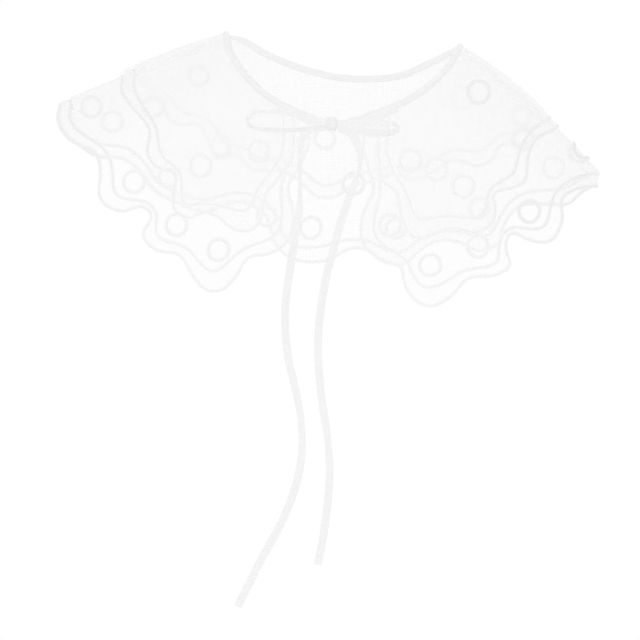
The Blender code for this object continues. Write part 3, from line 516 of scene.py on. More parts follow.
for name, rows in tails.items():
    piece, path = makeRibbon(name, rows, 1.5)
for name, rows in bowRibbons.items():
    makeRibbon(name, rows, 1.0)
print("ribbons done")


# Knot of the bow: a barrel of wrapped ribbon along x.
knot = {
    "low": (-3.1, 27.4, 4.3), "high": (6.9, 38.8, 15.2), "around": 64, "long": 41,
    "waist": 0.86, "ends": 0.42,  # size at the middle, and how much the ends are drawn in
    "fold": 0.045, "square": 0.8, "lean": 0.35, "clothLong": 10.0, "clothRound": 36.0,
}


def makeKnot(spec):
    # Point (t, angle): a rounded drum drawn in at its middle and ends, with soft lengthways folds where the
    # ribbon is pulled tight, deeper on one side.
    low, high = np.array(spec["low"]), np.array(spec["high"])
    middle, half = (low + high) / 2, (high - low) / 2
    t = np.linspace(-1.0, 1.0, spec["long"])[:, None]
    angle = np.linspace(0.0, 2 * math.pi, spec["around"], endpoint=False)[None, :]
    size = spec["waist"] + (1 - spec["waist"]) * np.sin(math.pi * np.abs(t)) ** 2
    size = size * (1 - spec["ends"] * t**4)
    folds = 1 - spec["fold"] * (1 + np.sin(5 * angle + 2.2 * t + 0.8 * np.sin(2 * angle))) * (1 - 0.6 * t**2)
    y, z = (
        np.sign(turn) * np.abs(turn) ** spec["square"] * reach * size * folds
        for turn, reach in ((np.cos(angle), half[1]), (np.sin(angle), half[2]))
    )
    x = np.broadcast_to(t * half[0], y.shape) + spec["lean"] * np.sin(2 * angle + 0.6) * (1 - np.abs(t))
    # The wraps run round the knot, so the cloth's length lies round it and its width along it.
    lengths = np.linspace(0, spec["clothLong"], spec["long"])
    uv = evenUv(lengths, np.linspace(0, spec["clothRound"], spec["around"] + 1))
    shape = skin(middle + np.stack([x, y, z], axis=-1), np.tile(middle, (spec["long"], 1)), uv[:, :, ::-1])
    addPiece("bow_knot_cloth", shape, knotCloth, ["bow_knot"])


makeKnot(knot)


# Cloth. Free edge of each panel, columns: x, y, band (cloth between the edge's two cord lines).
lowerLeft = [
    (-14, 37, 10.5), (-13, 21, 11), (-22, -1, 7), (-29, -13.5, 5.5), (-25, -35, 7.5), (-30, -55, 8.5),
    (-44, -64.5, 9), (-59, -67.5, 8), (-69.5, -82.5, 11), (-80.5, -92, 13), (-92.5, -91.5, 12.5),
    (-103.5, -79.5, 9), (-112, -66, 8), (-131, -61, 7), (-140, -49.5, 7), (-134, -35, 5), (-140, -29.5, 5),
    (-155.5, -33, 8), (-172, -23, 9.5), (-172, -1.5, 9), (-175.5, 11, 7.5), (-194.5, 21, 7.5),
    (-203.5, 35, 7.5), (-203.5, 49.5, 7.5),
]
upperLeft = [
    (-25, 39, 7.5), (-25, 17, 7), (-26.5, 6.5, 7), (-34, -4.5, 7), (-47, -22, 7), (-48.5, -36, 9),
    (-56.5, -46.5, 13), (-69.5, -47, 14), (-84.5, -36.5, 8), (-94, -34, 7), (-104.5, -38, 8),
    (-116, -31.5, 6), (-117, -18, 5), (-116, -5, 5), (-128, -0.5, 6.5), (-136.5, 10.5, 8),
    (-135, 28.5, 5.5), (-146.5, 44, 6), (-155.5, 57, 8), (-156.5, 71, 9),
]
lowerRight = [
    (24.5, 39, 10.5), (25, 13, 9), (32.5, -15.5, 5), (28, -25.5, 7), (24, -36, 8), (24.5, -56, 9),
    (39.5, -69.5, 9), (53, -74, 7), (55.5, -86, 7), (65, -100, 10.5), (77, -104, 13), (91, -97.5, 10.5),
    (105.5, -83, 7), (123.5, -81, 6), (136.5, -73.5, 7), (134, -58.5, 5.5), (137, -49.5, 5.5),
    (153.5, -55.5, 7.5), (167.5, -54.5, 9.5), (176, -39, 9), (176, -23, 8), (186.5, -16, 8),
    (201.5, -14, 8),
]
upperRight = [
    (37.5, 41, 6), (36, 14, 5), (39.5, -9, 9), (49, -18, 7), (53, -34.5, 8), (59, -48.5, 10.5),
    (68.5, -54, 13), (80.5, -49.5, 11.5), (93.5, -45.5, 9), (110, -49, 9), (122.5, -42, 8), (126, -31, 6),
    (124.5, -19.5, 5), (135.5, -16, 7), (147.5, -10, 8), (150, 8, 7), (155, 20, 7), (164.5, 26.5, 7.5),
    (173, 32, 8),
]
lowerBack = [
    (-203.5, 49.5, 7.5), (-201.5, 31, 7.5), (-187, 16.5, 7.5), (-173, 8, 8), (-155.5, 7, 9),
    (-140.5, -4.5, 6), (-132, -16.5, 4.5), (-117.5, -25, 7), (-94, -33, 7), (-66.5, -26, 7.5),
    (-48.5, -35, 7.5), (-41.5, -55.5, 7), (-30.5, -67, 8), (-12.5, -71, 10), (2.5, -68.5, 10), (16, -61, 7),
    (28, -61.5, 6.5), (40, -70, 7.5), (55, -73, 7.5), (70, -61.5, 6), (81.5, -55, 7), (97, -56, 7.5),
    (113.5, -62.5, 9), (128.5, -56, 7), (133, -42, 5), (143.5, -29, 7.5), (162.5, -27.5, 10),
    (179.5, -27.5, 10.5), (191, -18, 8), (201.5, -14, 8),
]
upperBack = [
    (-156.5, 71, 9), (-149.5, 59, 8), (-137.5, 50, 8), (-126.5, 50, 8), (-120.5, 36, 9), (-110, 31.5, 8),
    (-99.5, 33, 7.5), (-91, 21, 9), (-84.5, 7, 9), (-68.5, 9, 8), (-57.5, -2, 8), (-38, -2, 7.5),
    (-22, -10.5, 7.5), (-11, -21, 7.5), (5, -22, 7.5), (17.5, -14, 7), (35.5, -10, 7), (48.5, -5, 6),
    (64, -9, 6), (82, -2, 7), (92.5, 5.5, 7.5), (113.5, 1, 9.5), (124, 7, 7.5), (130, 17, 7.5),
    (148, 18, 9), (162.5, 26, 8), (173, 32, 8),
]
# Outer edge of the neck binding and the two shoulder folds. Columns: x, y.
neckBack = [
    (-75.5, 104), (-62.5, 98), (-44, 87.5), (-17, 77), (8.5, 71), (32.5, 70), (53.5, 72.5), (76, 82),
    (98, 95),
]
neckLeft = [(-8.5, 39.2), (-15.5, 42), (-32, 49), (-47.5, 59), (-62, 74), (-71, 88), (-75.5, 104)]
neckRight = [
    (12.5, 36.9), (17.5, 38), (34, 43.5), (50.5, 50), (67, 59), (79, 69), (89, 80), (98, 95),
]
foldLeft = [(-75.5, 104), (-111.5, 91), (-141.5, 80), (-171.5, 65), (-203.5, 49.5)]
foldRight = [
    (98, 95), (128, 73.5), (155.5, 51), (174.5, 30), (191.5, 14), (202, 4), (201.5, -14),
]
cloth = {
    "wall": 1.0, "cordInset": 1.9, "cordHalf": 1.7, "leastBand": 6.2, "neckRow": 5.65, "tucked": 2.4,
    "neckRise": 9.0, "neckRowLength": 12.0, "foldSteps": 9, "rounded": 5.0, "lowest": 0.12,
    "foldInset": [(0.0, 4.1), (95.0, 4.1), (145.0, 1.7)],  # from the neck, and the turning line's inset
    "neckMiddle": (5.0, 98.0), "spreadWide": 1.35, "spreadRight": (60.0, 150.0, 22.0),
    "leastFall": 0.22,  # share of a rib before which the cloth doesn't fall
    "foldCut": 0.5,  # cloth of the flat cut that is left to a whole fold
    "frontBow": 0.6, "cordFade": (6.0, 14.0),  # bow of the front edge; where the cords grow to full width
}
# Lengths in millimetres over which directions and shares are rounded off, or give way to a panel's ends.
ease = {
    "fold": 12.0, "neck": 4.0, "alongFold": 14.0, "hem": 1.5, "cords": (2.8, 8.5), "endAim": 13.0,
    "inner": 4.5, "stations": 3.0, "shares": 9.0, "endShare": 18.0, "frontBends": (22.0, 60.0),
    "backBends": (60.0, 60.0), "creases": 26.0, "paintedDarkness": 90.0,
}
# Stations along a hem: spacing for a turn of one radian in a millimetre, the closest and the widest.
spacing = {"turn": 0.27, "least": 4.0, "most": 9.6}
# Heights of each panel's underside: at the binding, over the panel, and the fall past the tier beneath it.
levels = {
    "backUpper": (0.0, 0.0, None), "backLower": (1.3, 2.4, (120.0, 150.0, 2.4)),
    "frontLower": (4.8, 4.8, (139.0, 169.0, 2.4)), "frontUpper": (6.1, 7.2, None),
}


def ramp(values, start, end):
    # 0 up to start, 1 from end on, straight between them.
    return np.clip((values - start) / (end - start), 0.0, 1.0)


def foldAxis(rows, side):
    # Turning line of a fold: its outline moved inwards by foldInset.
    outline = curveThrough(rows)
    outward = inwardOf(outline, side, ease["fold"])
    return outline - outward * np.interp(arcOf(outline), *zip(*cloth["foldInset"]))[:, None], outward


axes = {"left": foldAxis(foldLeft, -1.0), "right": foldAxis(foldRight, 1.0)}
heads = {side: unit(axis[10] - axis[0]) for side, (axis, _) in axes.items()}


def neckCurve(rows, side, folds):
    # Outer edge of the binding and the direction from it into the cloth, turned along a fold near the fold.
    edge = curveThrough(rows)
    along = arcOf(edge)
    inward = inwardOf(edge, side, ease["neck"])
    for fold, atEnd in folds:
        share = bell(along[-1] - along if atEnd else along, ease["alongFold"])[:, None]
        inward = unit(inward * (1 - share) + heads[fold] * share)
    return edge, inward


starts = {side: tuple(axis[0]) for side, (axis, _) in axes.items()}
necks = {
    "left": neckCurve(neckLeft[:-1] + [starts["left"]], 1.0, [("left", True)]),
    "back": neckCurve(
        [starts["left"]] + neckBack[1:-1] + [starts["right"]], -1.0, [("left", False), ("right", True)],
    ),
    "right": neckCurve(neckRight[:-1] + [starts["right"]], -1.0, [("right", True)]),
}
neckPoints = np.vstack([edge for edge, _ in necks.values()])[::4]


def fromNeck(points):
    # Distance from the neck row, in parts that fit in memory.
    parts = np.array_split(points.reshape(-1, 2), 40)
    gaps = [np.linalg.norm(part[:, None] - neckPoints[None], axis=2).min(axis=1) for part in parts]
    return np.maximum(np.concatenate(gaps) - cloth["neckRow"], 0.0).reshape(points.shape[:-1])


def spread(points):
    # Distance from the neck's middle, less on the right where the upper tier reaches further out.
    x, y = points[..., 0], points[..., 1]
    fromX, toX, less = cloth["spreadRight"]
    away = np.hypot((x - cloth["neckMiddle"][0]) / cloth["spreadWide"], y - cloth["neckMiddle"][1])
    return away - less * ramp(x, fromX, toX)


def underside(points, level):
    # The panel rises from the binding over neckRise, and falls past the tier beneath it.
    atNeck, flat, drop = level
    z = atNeck + (flat - atNeck) * ramp(fromNeck(points), 0.0, cloth["neckRise"])
    return z - drop[2] * ramp(spread(points), drop[0], drop[1]) if drop else z


def stations(edge):
    # Distances along a free edge, closer together where it turns more.
    along = arcOf(edge)
    heading = unit(blurred(np.gradient(edge[:, :2], axis=0), along, ease["hem"]))
    turn = np.linalg.norm(np.gradient(heading, axis=0), axis=1) / np.gradient(along)
    apart = np.clip(spacing["turn"] / np.maximum(turn, 1e-6), spacing["least"], spacing["most"])
    apart = blurred(apart[:, None], along, ease["stations"])[:, 0]
    count = np.concatenate([[0.0], np.cumsum(np.diff(along) / apart[1:])])
    return np.interp(np.linspace(0.0, count[-1], int(math.ceil(count[-1])) + 1), count, along)


tries = np.linspace(0.0, 0.75, 76)


def shareAt(lines, contour):
    # How far along each rib the cloth begins to fall: where the rib last lies outside the contour of spread.
    least = cloth["leastFall"]
    if contour is None:
        return np.full(len(lines), least)
    outside = spread(lines) > contour
    last = len(tries) - 1 - np.argmax(outside[:, ::-1], axis=1)
    return np.where(outside.any(axis=1), np.maximum(least, tries[last]), least)


def innerShares(length, fall):
    # Places of the two inner rows: where the cloth begins to fall, and neckRowLength before the neck row.
    last = 1.0 - np.minimum(cloth["neckRowLength"] / length, 0.4)
    return np.minimum(fall, last - 0.1), last


def panelRows(edgeRows, side, startCurve, endCurve, neckRow, bends, contour):
    # Plan grid of a panel, station by row: free edge, two cord lines and their feet, two inner rows, neck row.
    rows = np.array(edgeRows, float)
    rows[0, :2], rows[-1, :2] = startCurve[0, :2], endCurve[0, :2]
    edge = curveThrough(rows)
    along = arcOf(edge)
    half, inset = cloth["cordHalf"], cloth["cordInset"]

    def fromEnds(places):
        # Each end's curve, with the distance of these places from that end.
        return (startCurve, places), (endCurve, along[-1] - places)

    square = inwardOf(edge, side, ease["hem"])
    turned = []
    for width in ease["cords"]:
        aim = inward = unit(blurred(square, along, width))
        for curve, distance in fromEnds(along):
            share = bell(distance, ease["endAim"])[:, None]
            aim = aim * (1 - share) + unit(curve[12, :2] - curve[0, :2]) * share
        aim = unit(aim)
        turned.append(aim / np.maximum((aim * inward).sum(axis=1, keepdims=True), 0.75))
    inner = edge[:, :2] + turned[1] * (edge[:, 2:3] + inset)
    inner = np.vstack([inner[:1], blurred(inner, along, ease["inner"])[1:-1], inner[-1:]])
    gap = np.linalg.norm(inner[:, None] - edge[None, ::2, :2], axis=2).min(axis=1)
    inner = inner + turned[1] * np.maximum(cloth["leastBand"] - gap, 0.0)[:, None]
    picked = stations(edge)
    e, near, far, middle = (sampled(picked, along, table) for table in (edge[:, :2], *turned, inner))
    foot = middle + far * half
    neck = at(neckRow, picked / along[-1] * arcOf(neckRow)[-1])
    line = neck - foot
    shares = shareAt(foot[:, None] + tries[None, :, None] * line[:, None], contour)
    shares = blurred(shares[:, None], picked, ease["shares"])[:, 0]
    for curve, distance in fromEnds(picked):
        first = edgeRows[-1][2] + inset + half
        endShare = shareAt(at(curve, first + (arcOf(curve)[-1] - first) * tries)[None, :, :2], contour)[0]
        weight = bell(distance, ease["endShare"])
        shares = shares * (1 - weight) + endShare * weight
    grid = [e, e + near * inset, e + near * (inset + half), middle - far * half, middle, foot]
    first = np.linalg.norm(foot - e, axis=1)
    for t in innerShares(np.linalg.norm(line, axis=1), shares):
        point = foot + line * t[:, None]
        for (curve, distance), width in zip(fromEnds(picked), bends):
            bent = at(curve, first + (arcOf(curve)[-1] - first) * t)[:, :2]
            straight = at(curve, first)[:, :2] * (1 - t[:, None]) + curve[-1, :2] * t[:, None]
            point = point + (bent - straight) * bell(distance, width)[:, None]
        grid.append(point)
    return np.stack(grid + [neck], axis=1), picked


def endRows(curve, band, contour):
    # One rib that lies on a fold's turning line.
    whole, half, inset = arcOf(curve)[-1], cloth["cordHalf"], cloth["cordInset"]
    middle = band + inset
    foot = middle + half
    fall = shareAt(at(curve, foot + (whole - foot) * tries)[None, :, :2], contour)[0]
    inner = [foot + (whole - foot) * t for t in innerShares(whole - foot, fall)]
    return at(curve, [0.0, inset, inset + half, middle - half, middle, foot] + inner + [whole])


def lifted(plan, level):
    # Middle of the wall over a plan grid of ribs. The first inner row stays level: from there the cloth falls.
    z = underside(plan, level)
    z[..., 6] = underside(plan[..., 6, :], (level[0], level[1], None))
    return np.concatenate([plan, (z + cloth["wall"] / 2)[..., None]], axis=-1)


def mirroredOver(points, a, b):
    # Plan points turned over the line from a to b, as a front panel unfolds into the flat cut.
    line = unit(np.array(b) - np.array(a))
    away = points - a
    return a + 2 * (away @ line)[..., None] * line - away


def tierGrid(edges, frontEdge, back, front):
    # Whole tier as one grid of ribs: left front, over the left fold, back, over the right fold, right front.
    # Each point has its place in the flat cut, a fade for the cords, 1 on a panel or 0 in a fold, and facing.
    contours = [levels[name][2][0] if levels[name][2] else None for name in (back, front)]
    fold = {
        side: at(np.hstack(axis), np.linspace(nearest(axis[0], edges[side][-1]), cloth["neckRow"], 120))
        for side, axis in axes.items()
    }
    made = []

    def addRibs(parts, cut, fade, flat, facing):
        # Ribs with their further columns, alike down each rib.
        more = np.column_stack([fade, np.full(len(fade), flat), np.full(len(fade), facing)])
        more = np.repeat(more[:, None], parts.shape[1], axis=1)
        made.append(np.concatenate([parts, cut, more], axis=2))

    def addFold(side, reverse):
        # Ribs round a fold: each point swings by angle about the middle height of the two panels.
        angles = np.linspace(0.0, math.pi, cloth["foldSteps"] + 2)[1:-1]
        for angle in (angles[::-1] if reverse else angles):
            contour = contours[1] + (contours[0] - contours[1]) * angle / math.pi if contours[0] else None
            rib = endRows(fold[side], edges[side][-1][2], contour)
            plan, out = rib[:, :2], rib[:, 2:]
            low, high = lifted(plan, levels[back])[:, 2], lifted(plan, levels[front])[:, 2]
            swing = np.column_stack([out * math.sin(angle), np.full(len(plan), math.cos(angle))])
            middle = np.column_stack([plan, (high + low) / 2]) + swing * ((high - low) / 2)[:, None]
            cut = plan + out * (0.5 - angle / math.pi) * cloth["foldCut"]
            addRibs(middle[None], cut[None], np.ones(1), 0.0, -1.0)

    def addFront(side, turn, reverse):
        # A front panel, from its front edge to the fold's turning line.
        edge, inward = necks[side]
        row = edge + inward * cloth["neckRow"]
        start = nearest(row, edges[side][0])
        # The front edge of the cloth runs along the neck row, bowed a little.
        end = at(row, np.linspace(start, start + frontEdge, 40))
        end = end + cloth["frontBow"] * np.sin(np.linspace(0.0, math.pi, 40))[:, None] * inward[20]
        rest = at(row, np.linspace(start + frontEdge, arcOf(row)[-1], 200))
        axis = fold[side][:, :2]
        plan, picked = panelRows(edges[side], turn, end, axis, rest, ease["frontBends"], contours[1])
        fade = ramp(picked, *cloth["cordFade"])
        if reverse:
            plan, fade = plan[::-1], fade[::-1]
        addRibs(lifted(plan, levels[front]), mirroredOver(plan, axis[-1], axis[0]), fade, 1.0, 1.0)

    addFront("left", -1.0, False)
    addFold("left", False)
    edge, inward = necks["back"]
    plan, _ = panelRows(
        edges["back"], 1.0, fold["left"][:, :2], fold["right"][:, :2], edge + inward * cloth["neckRow"],
        ease["backBends"], contours[0],
    )
    addRibs(lifted(plan, levels[back]), plan, np.ones(len(plan)), 1.0, -1.0)
    addFold("right", True)
    addFront("right", 1.0, True)
    return np.concatenate(made)


def refinedAcross(values, counts):
    # Smooth rows between the given ones: Hermite pieces down each rib, counts new rows for each gap.
    chord = np.linalg.norm(np.diff(values[..., :2], axis=1), axis=2)
    p = values.transpose(1, 0, 2)
    gaps = np.maximum(chord.T, 0.05)[:, :, None]
    slope = slopesOf(p, gaps)
    made = []
    for k, count in enumerate(counts):
        t = (np.arange(count) / count)[:, None, None]
        made.append(hermite(t, p[k], p[k + 1], gaps[k] * slope[k], gaps[k] * slope[k + 1]))
    return np.concatenate(made + [p[-1:]]).transpose(1, 0, 2)


def refinedAlong(values, chord, count):
    # The same along the hem, with the hem's own distances as gaps.
    gaps = np.maximum(chord, 0.05)[:, None, None]
    slope = slopesOf(values, gaps)
    t = (np.arange(count) / count)[None, :, None, None]
    a, b = values[:-1, None], values[1:, None]
    made = hermite(t, a, b, (gaps * slope[:-1])[:, None], (gaps * slope[1:])[:, None])
    return np.concatenate([made.reshape(-1, *values.shape[1:]), values[-1:]])


# Soft creases, listed one by one: start x and y, end x and y, half width, height above the panel.
creases = {
    "front": [
        (-70, 62, -96, -24, 9, 0.42), (-58, 45, -66, -40, 7, -0.35), (-100, 82, -126, 12, 8, -0.38),
        (-122, 60, -168, -14, 9, 0.36), (-40, 30, -44, -58, 6, 0.30), (-90, -30, -84, -86, 7, 0.34),
        (-168, 56, -186, 24, 4.5, -0.40), (-148, 70, -178, 40, 6, 0.34), (52, 38, 60, -44, 8, 0.38),
        (78, 48, 96, -38, 9, -0.36), (96, 72, 138, -8, 8, 0.40), (120, 66, 168, -2, 7, -0.34),
        (74, -50, 80, -98, 7, 0.34), (112, -38, 128, -74, 6, -0.32), (160, 24, 172, -46, 7, 0.34),
        (184, 8, 190, -12, 4, -0.36),
    ],
    "back": [
        (-40, 66, -62, -24, 9, 0.30), (-6, 58, -16, -66, 8, -0.30), (20, 52, 24, -54, 8, 0.32),
        (54, 56, 62, -64, 9, -0.28), (-70, 70, -118, -12, 9, -0.28), (86, 60, 118, -52, 9, 0.28),
        (-110, 70, -168, 20, 8, 0.26), (116, 58, 166, -18, 8, -0.26),
    ],
}


def creased(points, rows):
    # Sum of rounded ridges and troughs: each falls off as a bell away from its line and past its ends.
    z = np.zeros(points.shape[:-1])
    for ax, ay, bx, by, wide, high in rows:
        a, b = np.array([ax, ay]), np.array([bx, by])
        line, length = unit(b - a), np.linalg.norm(b - a)
        along = (points - a) @ line
        off = (points - a) @ leftOf(line) + 2.2 * np.sin(along / 19.0 + ax)
        past = np.maximum(np.maximum(-along, along - length), 0.0)
        z += high * bell(off, wide) * bell(past, 1.5 * wide)
    return z


embroidery = {
    "wide": 1.7, "up": 0.5, "down": 0.3, "fromEdge": 1.35, "around": 10,
    "thin": 0.35, "uneven": 0.06,  # share of the width left at the front edge, and a slight unevenness
}


def cordProfile(up, down):
    # Low lens: height over the cloth is up times one minus the square of the place across, and down below it.
    angle = np.linspace(0.0, 2 * math.pi, embroidery["around"], endpoint=False)
    high = np.where(np.sin(angle) > 0, up, -down)
    return np.stack([embroidery["wide"] * np.cos(angle), high * np.sin(angle) ** 2], axis=1)


def makeCord(name, line, normal, scale, paintedDarkness):
    # Satin-stitched line carried along the cloth: wide across it and low, with the same section on both
    # sides, so that it follows the sheet's outer side round a fold without a twist. It is lifted to stand
    # more above the cloth.
    even = (embroidery["up"] + embroidery["down"]) / 2
    line = line + np.array([0.0, 0.0, embroidery["up"] - even])
    heading = unit(np.gradient(line, axis=0))
    across = unit(np.cross(normal, heading))
    shape = tube(line, across, np.cross(heading, across), cordProfile(even, even), scale)
    piece = addPiece(name, shape, satinStitch)
    setShare(piece, "paintedDarkness", np.repeat(paintedDarkness, embroidery["around"]))
    return piece


rings = {
    "front_upper": [
        (-95.9, 2.1, 7.9), (-52.3, 13.1, 7.5), (61.0, 6.0, 7.9), (100.7, -13.1, 7.9), (112.0, 57.1, 8.2),
    ],
    "front_lower": [
        (-177.6, 46.6, 7.6), (-145.8, -9.6, 7.9), (-120.2, -6.7, 6.8), (-113.9, -41.9, 7.9),
        (-82.5, -60.6, 7.9), (-46.7, -35.6, 6.9), (80.5, -0.2, 7.9), (168.1, 1.0, 7.9), (150.2, -31.9, 7.9),
        (111.6, -58.0, 7.9), (76.1, -72.0, 7.9), (45.9, -42.2, 7.9),
    ],
    "back_lower": [
        (-13.4, -44.0, 7.9), (18.5, -11.0, 7.9), (-162.2, 35.4, 7.6), (50.4, -44.4, 7.3), (112.8, -29.4, 7.4),
        (-97.4, 69.7, 7.2), (99.5, 53.0, 7.9), (-81.1, 17.3, 7.5), (-131.6, 46.5, 7.5), (145.9, 22.1, 7.5),
    ],
    "back_upper": [(-2.9, 23.1, 7.6), (145.0, 39.6, 6.7)],
}
# How much darker some rings are painted: a few in sight, and hidden ones near a fold, painted shade that lets
# them still show.
darkerRings = {
    "front_upper_05": 0.8, "front_lower_01": 0.5, "front_lower_09": 0.7, "back_lower_02": 0.3,
    "back_lower_03": 0.6, "back_lower_06": 1.2, "back_lower_09": 0.8, "back_lower_10": 1.4,
    "back_upper_02": 1.2,
}
# Ring over the right fold: the nearest place on the turning line, and how far beyond it the middle lies. Its
# darkness value paints it darker, painted shade over the fold.
foldRing = {"near": (188.6, 13.1), "beyond": 4.35, "radius": 7.9, "paintedDarkness": 1.5, "steps": 57}
tiers = {
    "upper": {
        "edges": {"left": upperLeft, "back": upperBack, "right": upperRight}, "frontEdge": 24.0,
        "back": "backUpper", "front": "frontUpper",
        "flat": (0.432, 0.244), "area": 0.0476, "on": "lower_tier_cloth",
    },
    "lower": {
        "edges": {"left": lowerLeft, "back": lowerBack, "right": lowerRight}, "frontEdge": 26.0,
        "back": "backLower", "front": "frontLower",
        "flat": (0.524, 0.316), "area": 0.0859, "on": "upper_tier_cloth",
    },
}
# New rows and ribs for each gap of the grid; hem is how many of the gaps are at the hem.
fine = {"across": (1, 1, 3, 1, 1, 5, 14, 4, 2), "hem": 5, "along": 4}
veil = {
    "threads": {"upper": 0.9, "lower": 1.25},  # the lower tier is woven a little closer
    "reach": {"upper": 5.0, "lower": 30.0}, "more": 0.9,
    "bend": {"upper": 0.7, "lower": 0.3},  # still more thread round the bend itself
    "insideRing": 0.93,
}
# How much darker a cord is painted where it turns over the left and the right fold: below 0 on the left,
# painted light, and above 0 on the right, painted shade.
turnedOver = {"edge": (-0.9, 0.8), "inner": (-0.9, 0.5)}
foldPoints = np.vstack([axis[::8] for axis, _ in axes.values()])
trees = {}


def threadShare(points, tier, facing, bent):
    # How much thread meets the eye. Towards the shoulder folds the cloth bends up and is seen at a slant:
    # the share grows by a bell of the distance from the fold, and more in the bend. Inside a ring, stitches
    # pull it thinner.
    away = np.linalg.norm(points[:, None, :2] - foldPoints[None], axis=2).min(axis=1)
    share = veil["threads"][tier] * (1 + veil["more"] * bell(away, veil["reach"][tier]))
    share = share * (1 + veil["bend"][tier] * bent)
    for panel, rows in rings.items():
        side, own = panel.split("_")
        if own == tier:
            for x, y, radius in rows:
                inside = np.hypot(points[:, 0] - x, points[:, 1] - y) < radius
                share[inside & (facing == (1.0 if side == "front" else -1.0))] *= veil["insideRing"]
    return share


def heightAt(tier, place, start, way=-1.0):
    # Height of the tier's cloth met from this height, going down or, for way 1, up.
    hit = trees[tier].ray_cast(Vector((*place, start)), Vector((0.0, 0.0, way)))[0]
    return hit.z if hit else None


def makeFoldRing(spec):
    # Ring stitched over the right shoulder fold. Each point of the circle lies at a distance beyond the
    # turning line: before it on the front, then round a half circle, then on the back's lower side, going
    # back inwards.
    axis, outward = axes["right"]
    k = np.argmin(np.hypot(*(axis - np.array(spec["near"])).T))
    turn, out = axis[k], outward[k]
    above, below = (20.0, -1.0), (-5.0, 1.0)
    high, low = (heightAt("lower", turn - 1.0 * out, *side) for side in (above, below))
    bend, middle = (high - low) / 2, (high + low) / 2
    angle = np.linspace(0.0, 2 * math.pi, spec["steps"])
    beyond = (spec["beyond"] + spec["radius"] * np.sin(angle))[:, None]
    swung = np.clip(beyond / bend, 0.0, math.pi)
    reach = np.where(beyond < 0, beyond, bend * np.sin(swung) - np.maximum(beyond - math.pi * bend, 0.0))
    plan = turn + spec["radius"] * np.cos(angle)[:, None] * leftOf(out) + reach * out
    z = middle + bend * np.cos(swung)
    for i in np.nonzero((beyond < -0.5) | (beyond > math.pi * bend + 0.5))[0]:
        z[i] = heightAt("lower", plan[i], *(above if beyond[i, 0] < 0 else below))
    normal = np.hstack([out * np.sin(swung), np.cos(swung)])
    even = np.ones(len(angle))
    return makeCord("fold_ring_stitched", np.hstack([plan, z]), normal, even, spec["paintedDarkness"] * even)


def tierSurface(spec):
    # The tier's whole grid with its tucked row, refined: points, places in the flat cut, further columns.
    whole = tierGrid(spec["edges"], spec["frontEdge"], spec["back"], spec["front"])
    chord = np.linalg.norm(np.diff(whole[:, 4, :3], axis=0), axis=1)
    last = whole[:, -1].copy()
    for columns in (slice(0, 3), slice(3, 5)):
        last[:, columns] += unit(whole[:, -1, columns] - whole[:, -2, columns]) * cloth["tucked"]
    whole = np.concatenate([whole, last[:, None]], axis=1)
    # The inner cord line is rounded off on the panels.
    length = arcOf(whole[:, 4])
    for row in (3, 4, 5):
        even = blurred(whole[:, row, :5], length, cloth["rounded"])
        whole[:, row, :5] += (even - whole[:, row, :5]) * whole[:, 0, 6:7] ** 2
    # Hem and inside are refined apart, so that each rib turns freely at the inner cord's foot.
    hem = refinedAcross(whole[:, :fine["hem"] + 1], fine["across"][:fine["hem"]])
    inside = refinedAcross(whole[:, fine["hem"]:], fine["across"][fine["hem"]:])
    whole = refinedAlong(np.concatenate([hem[:, :-1], inside], axis=1), chord, fine["along"])
    points, cut, extras = whole[..., :3], whole[..., 3:5], np.clip(whole[..., 5:], -1.0, 1.0)
    plan = points[..., :2]
    rise = np.where(extras[..., 2] > 0, creased(plan, creases["front"]), creased(plan, creases["back"]))
    rise = rise * (extras[..., 1] * ramp(fromNeck(plan), 0.0, ease["creases"]))
    points[..., 2] = np.maximum(points[..., 2] + rise, cloth["lowest"])
    return points, cut, extras


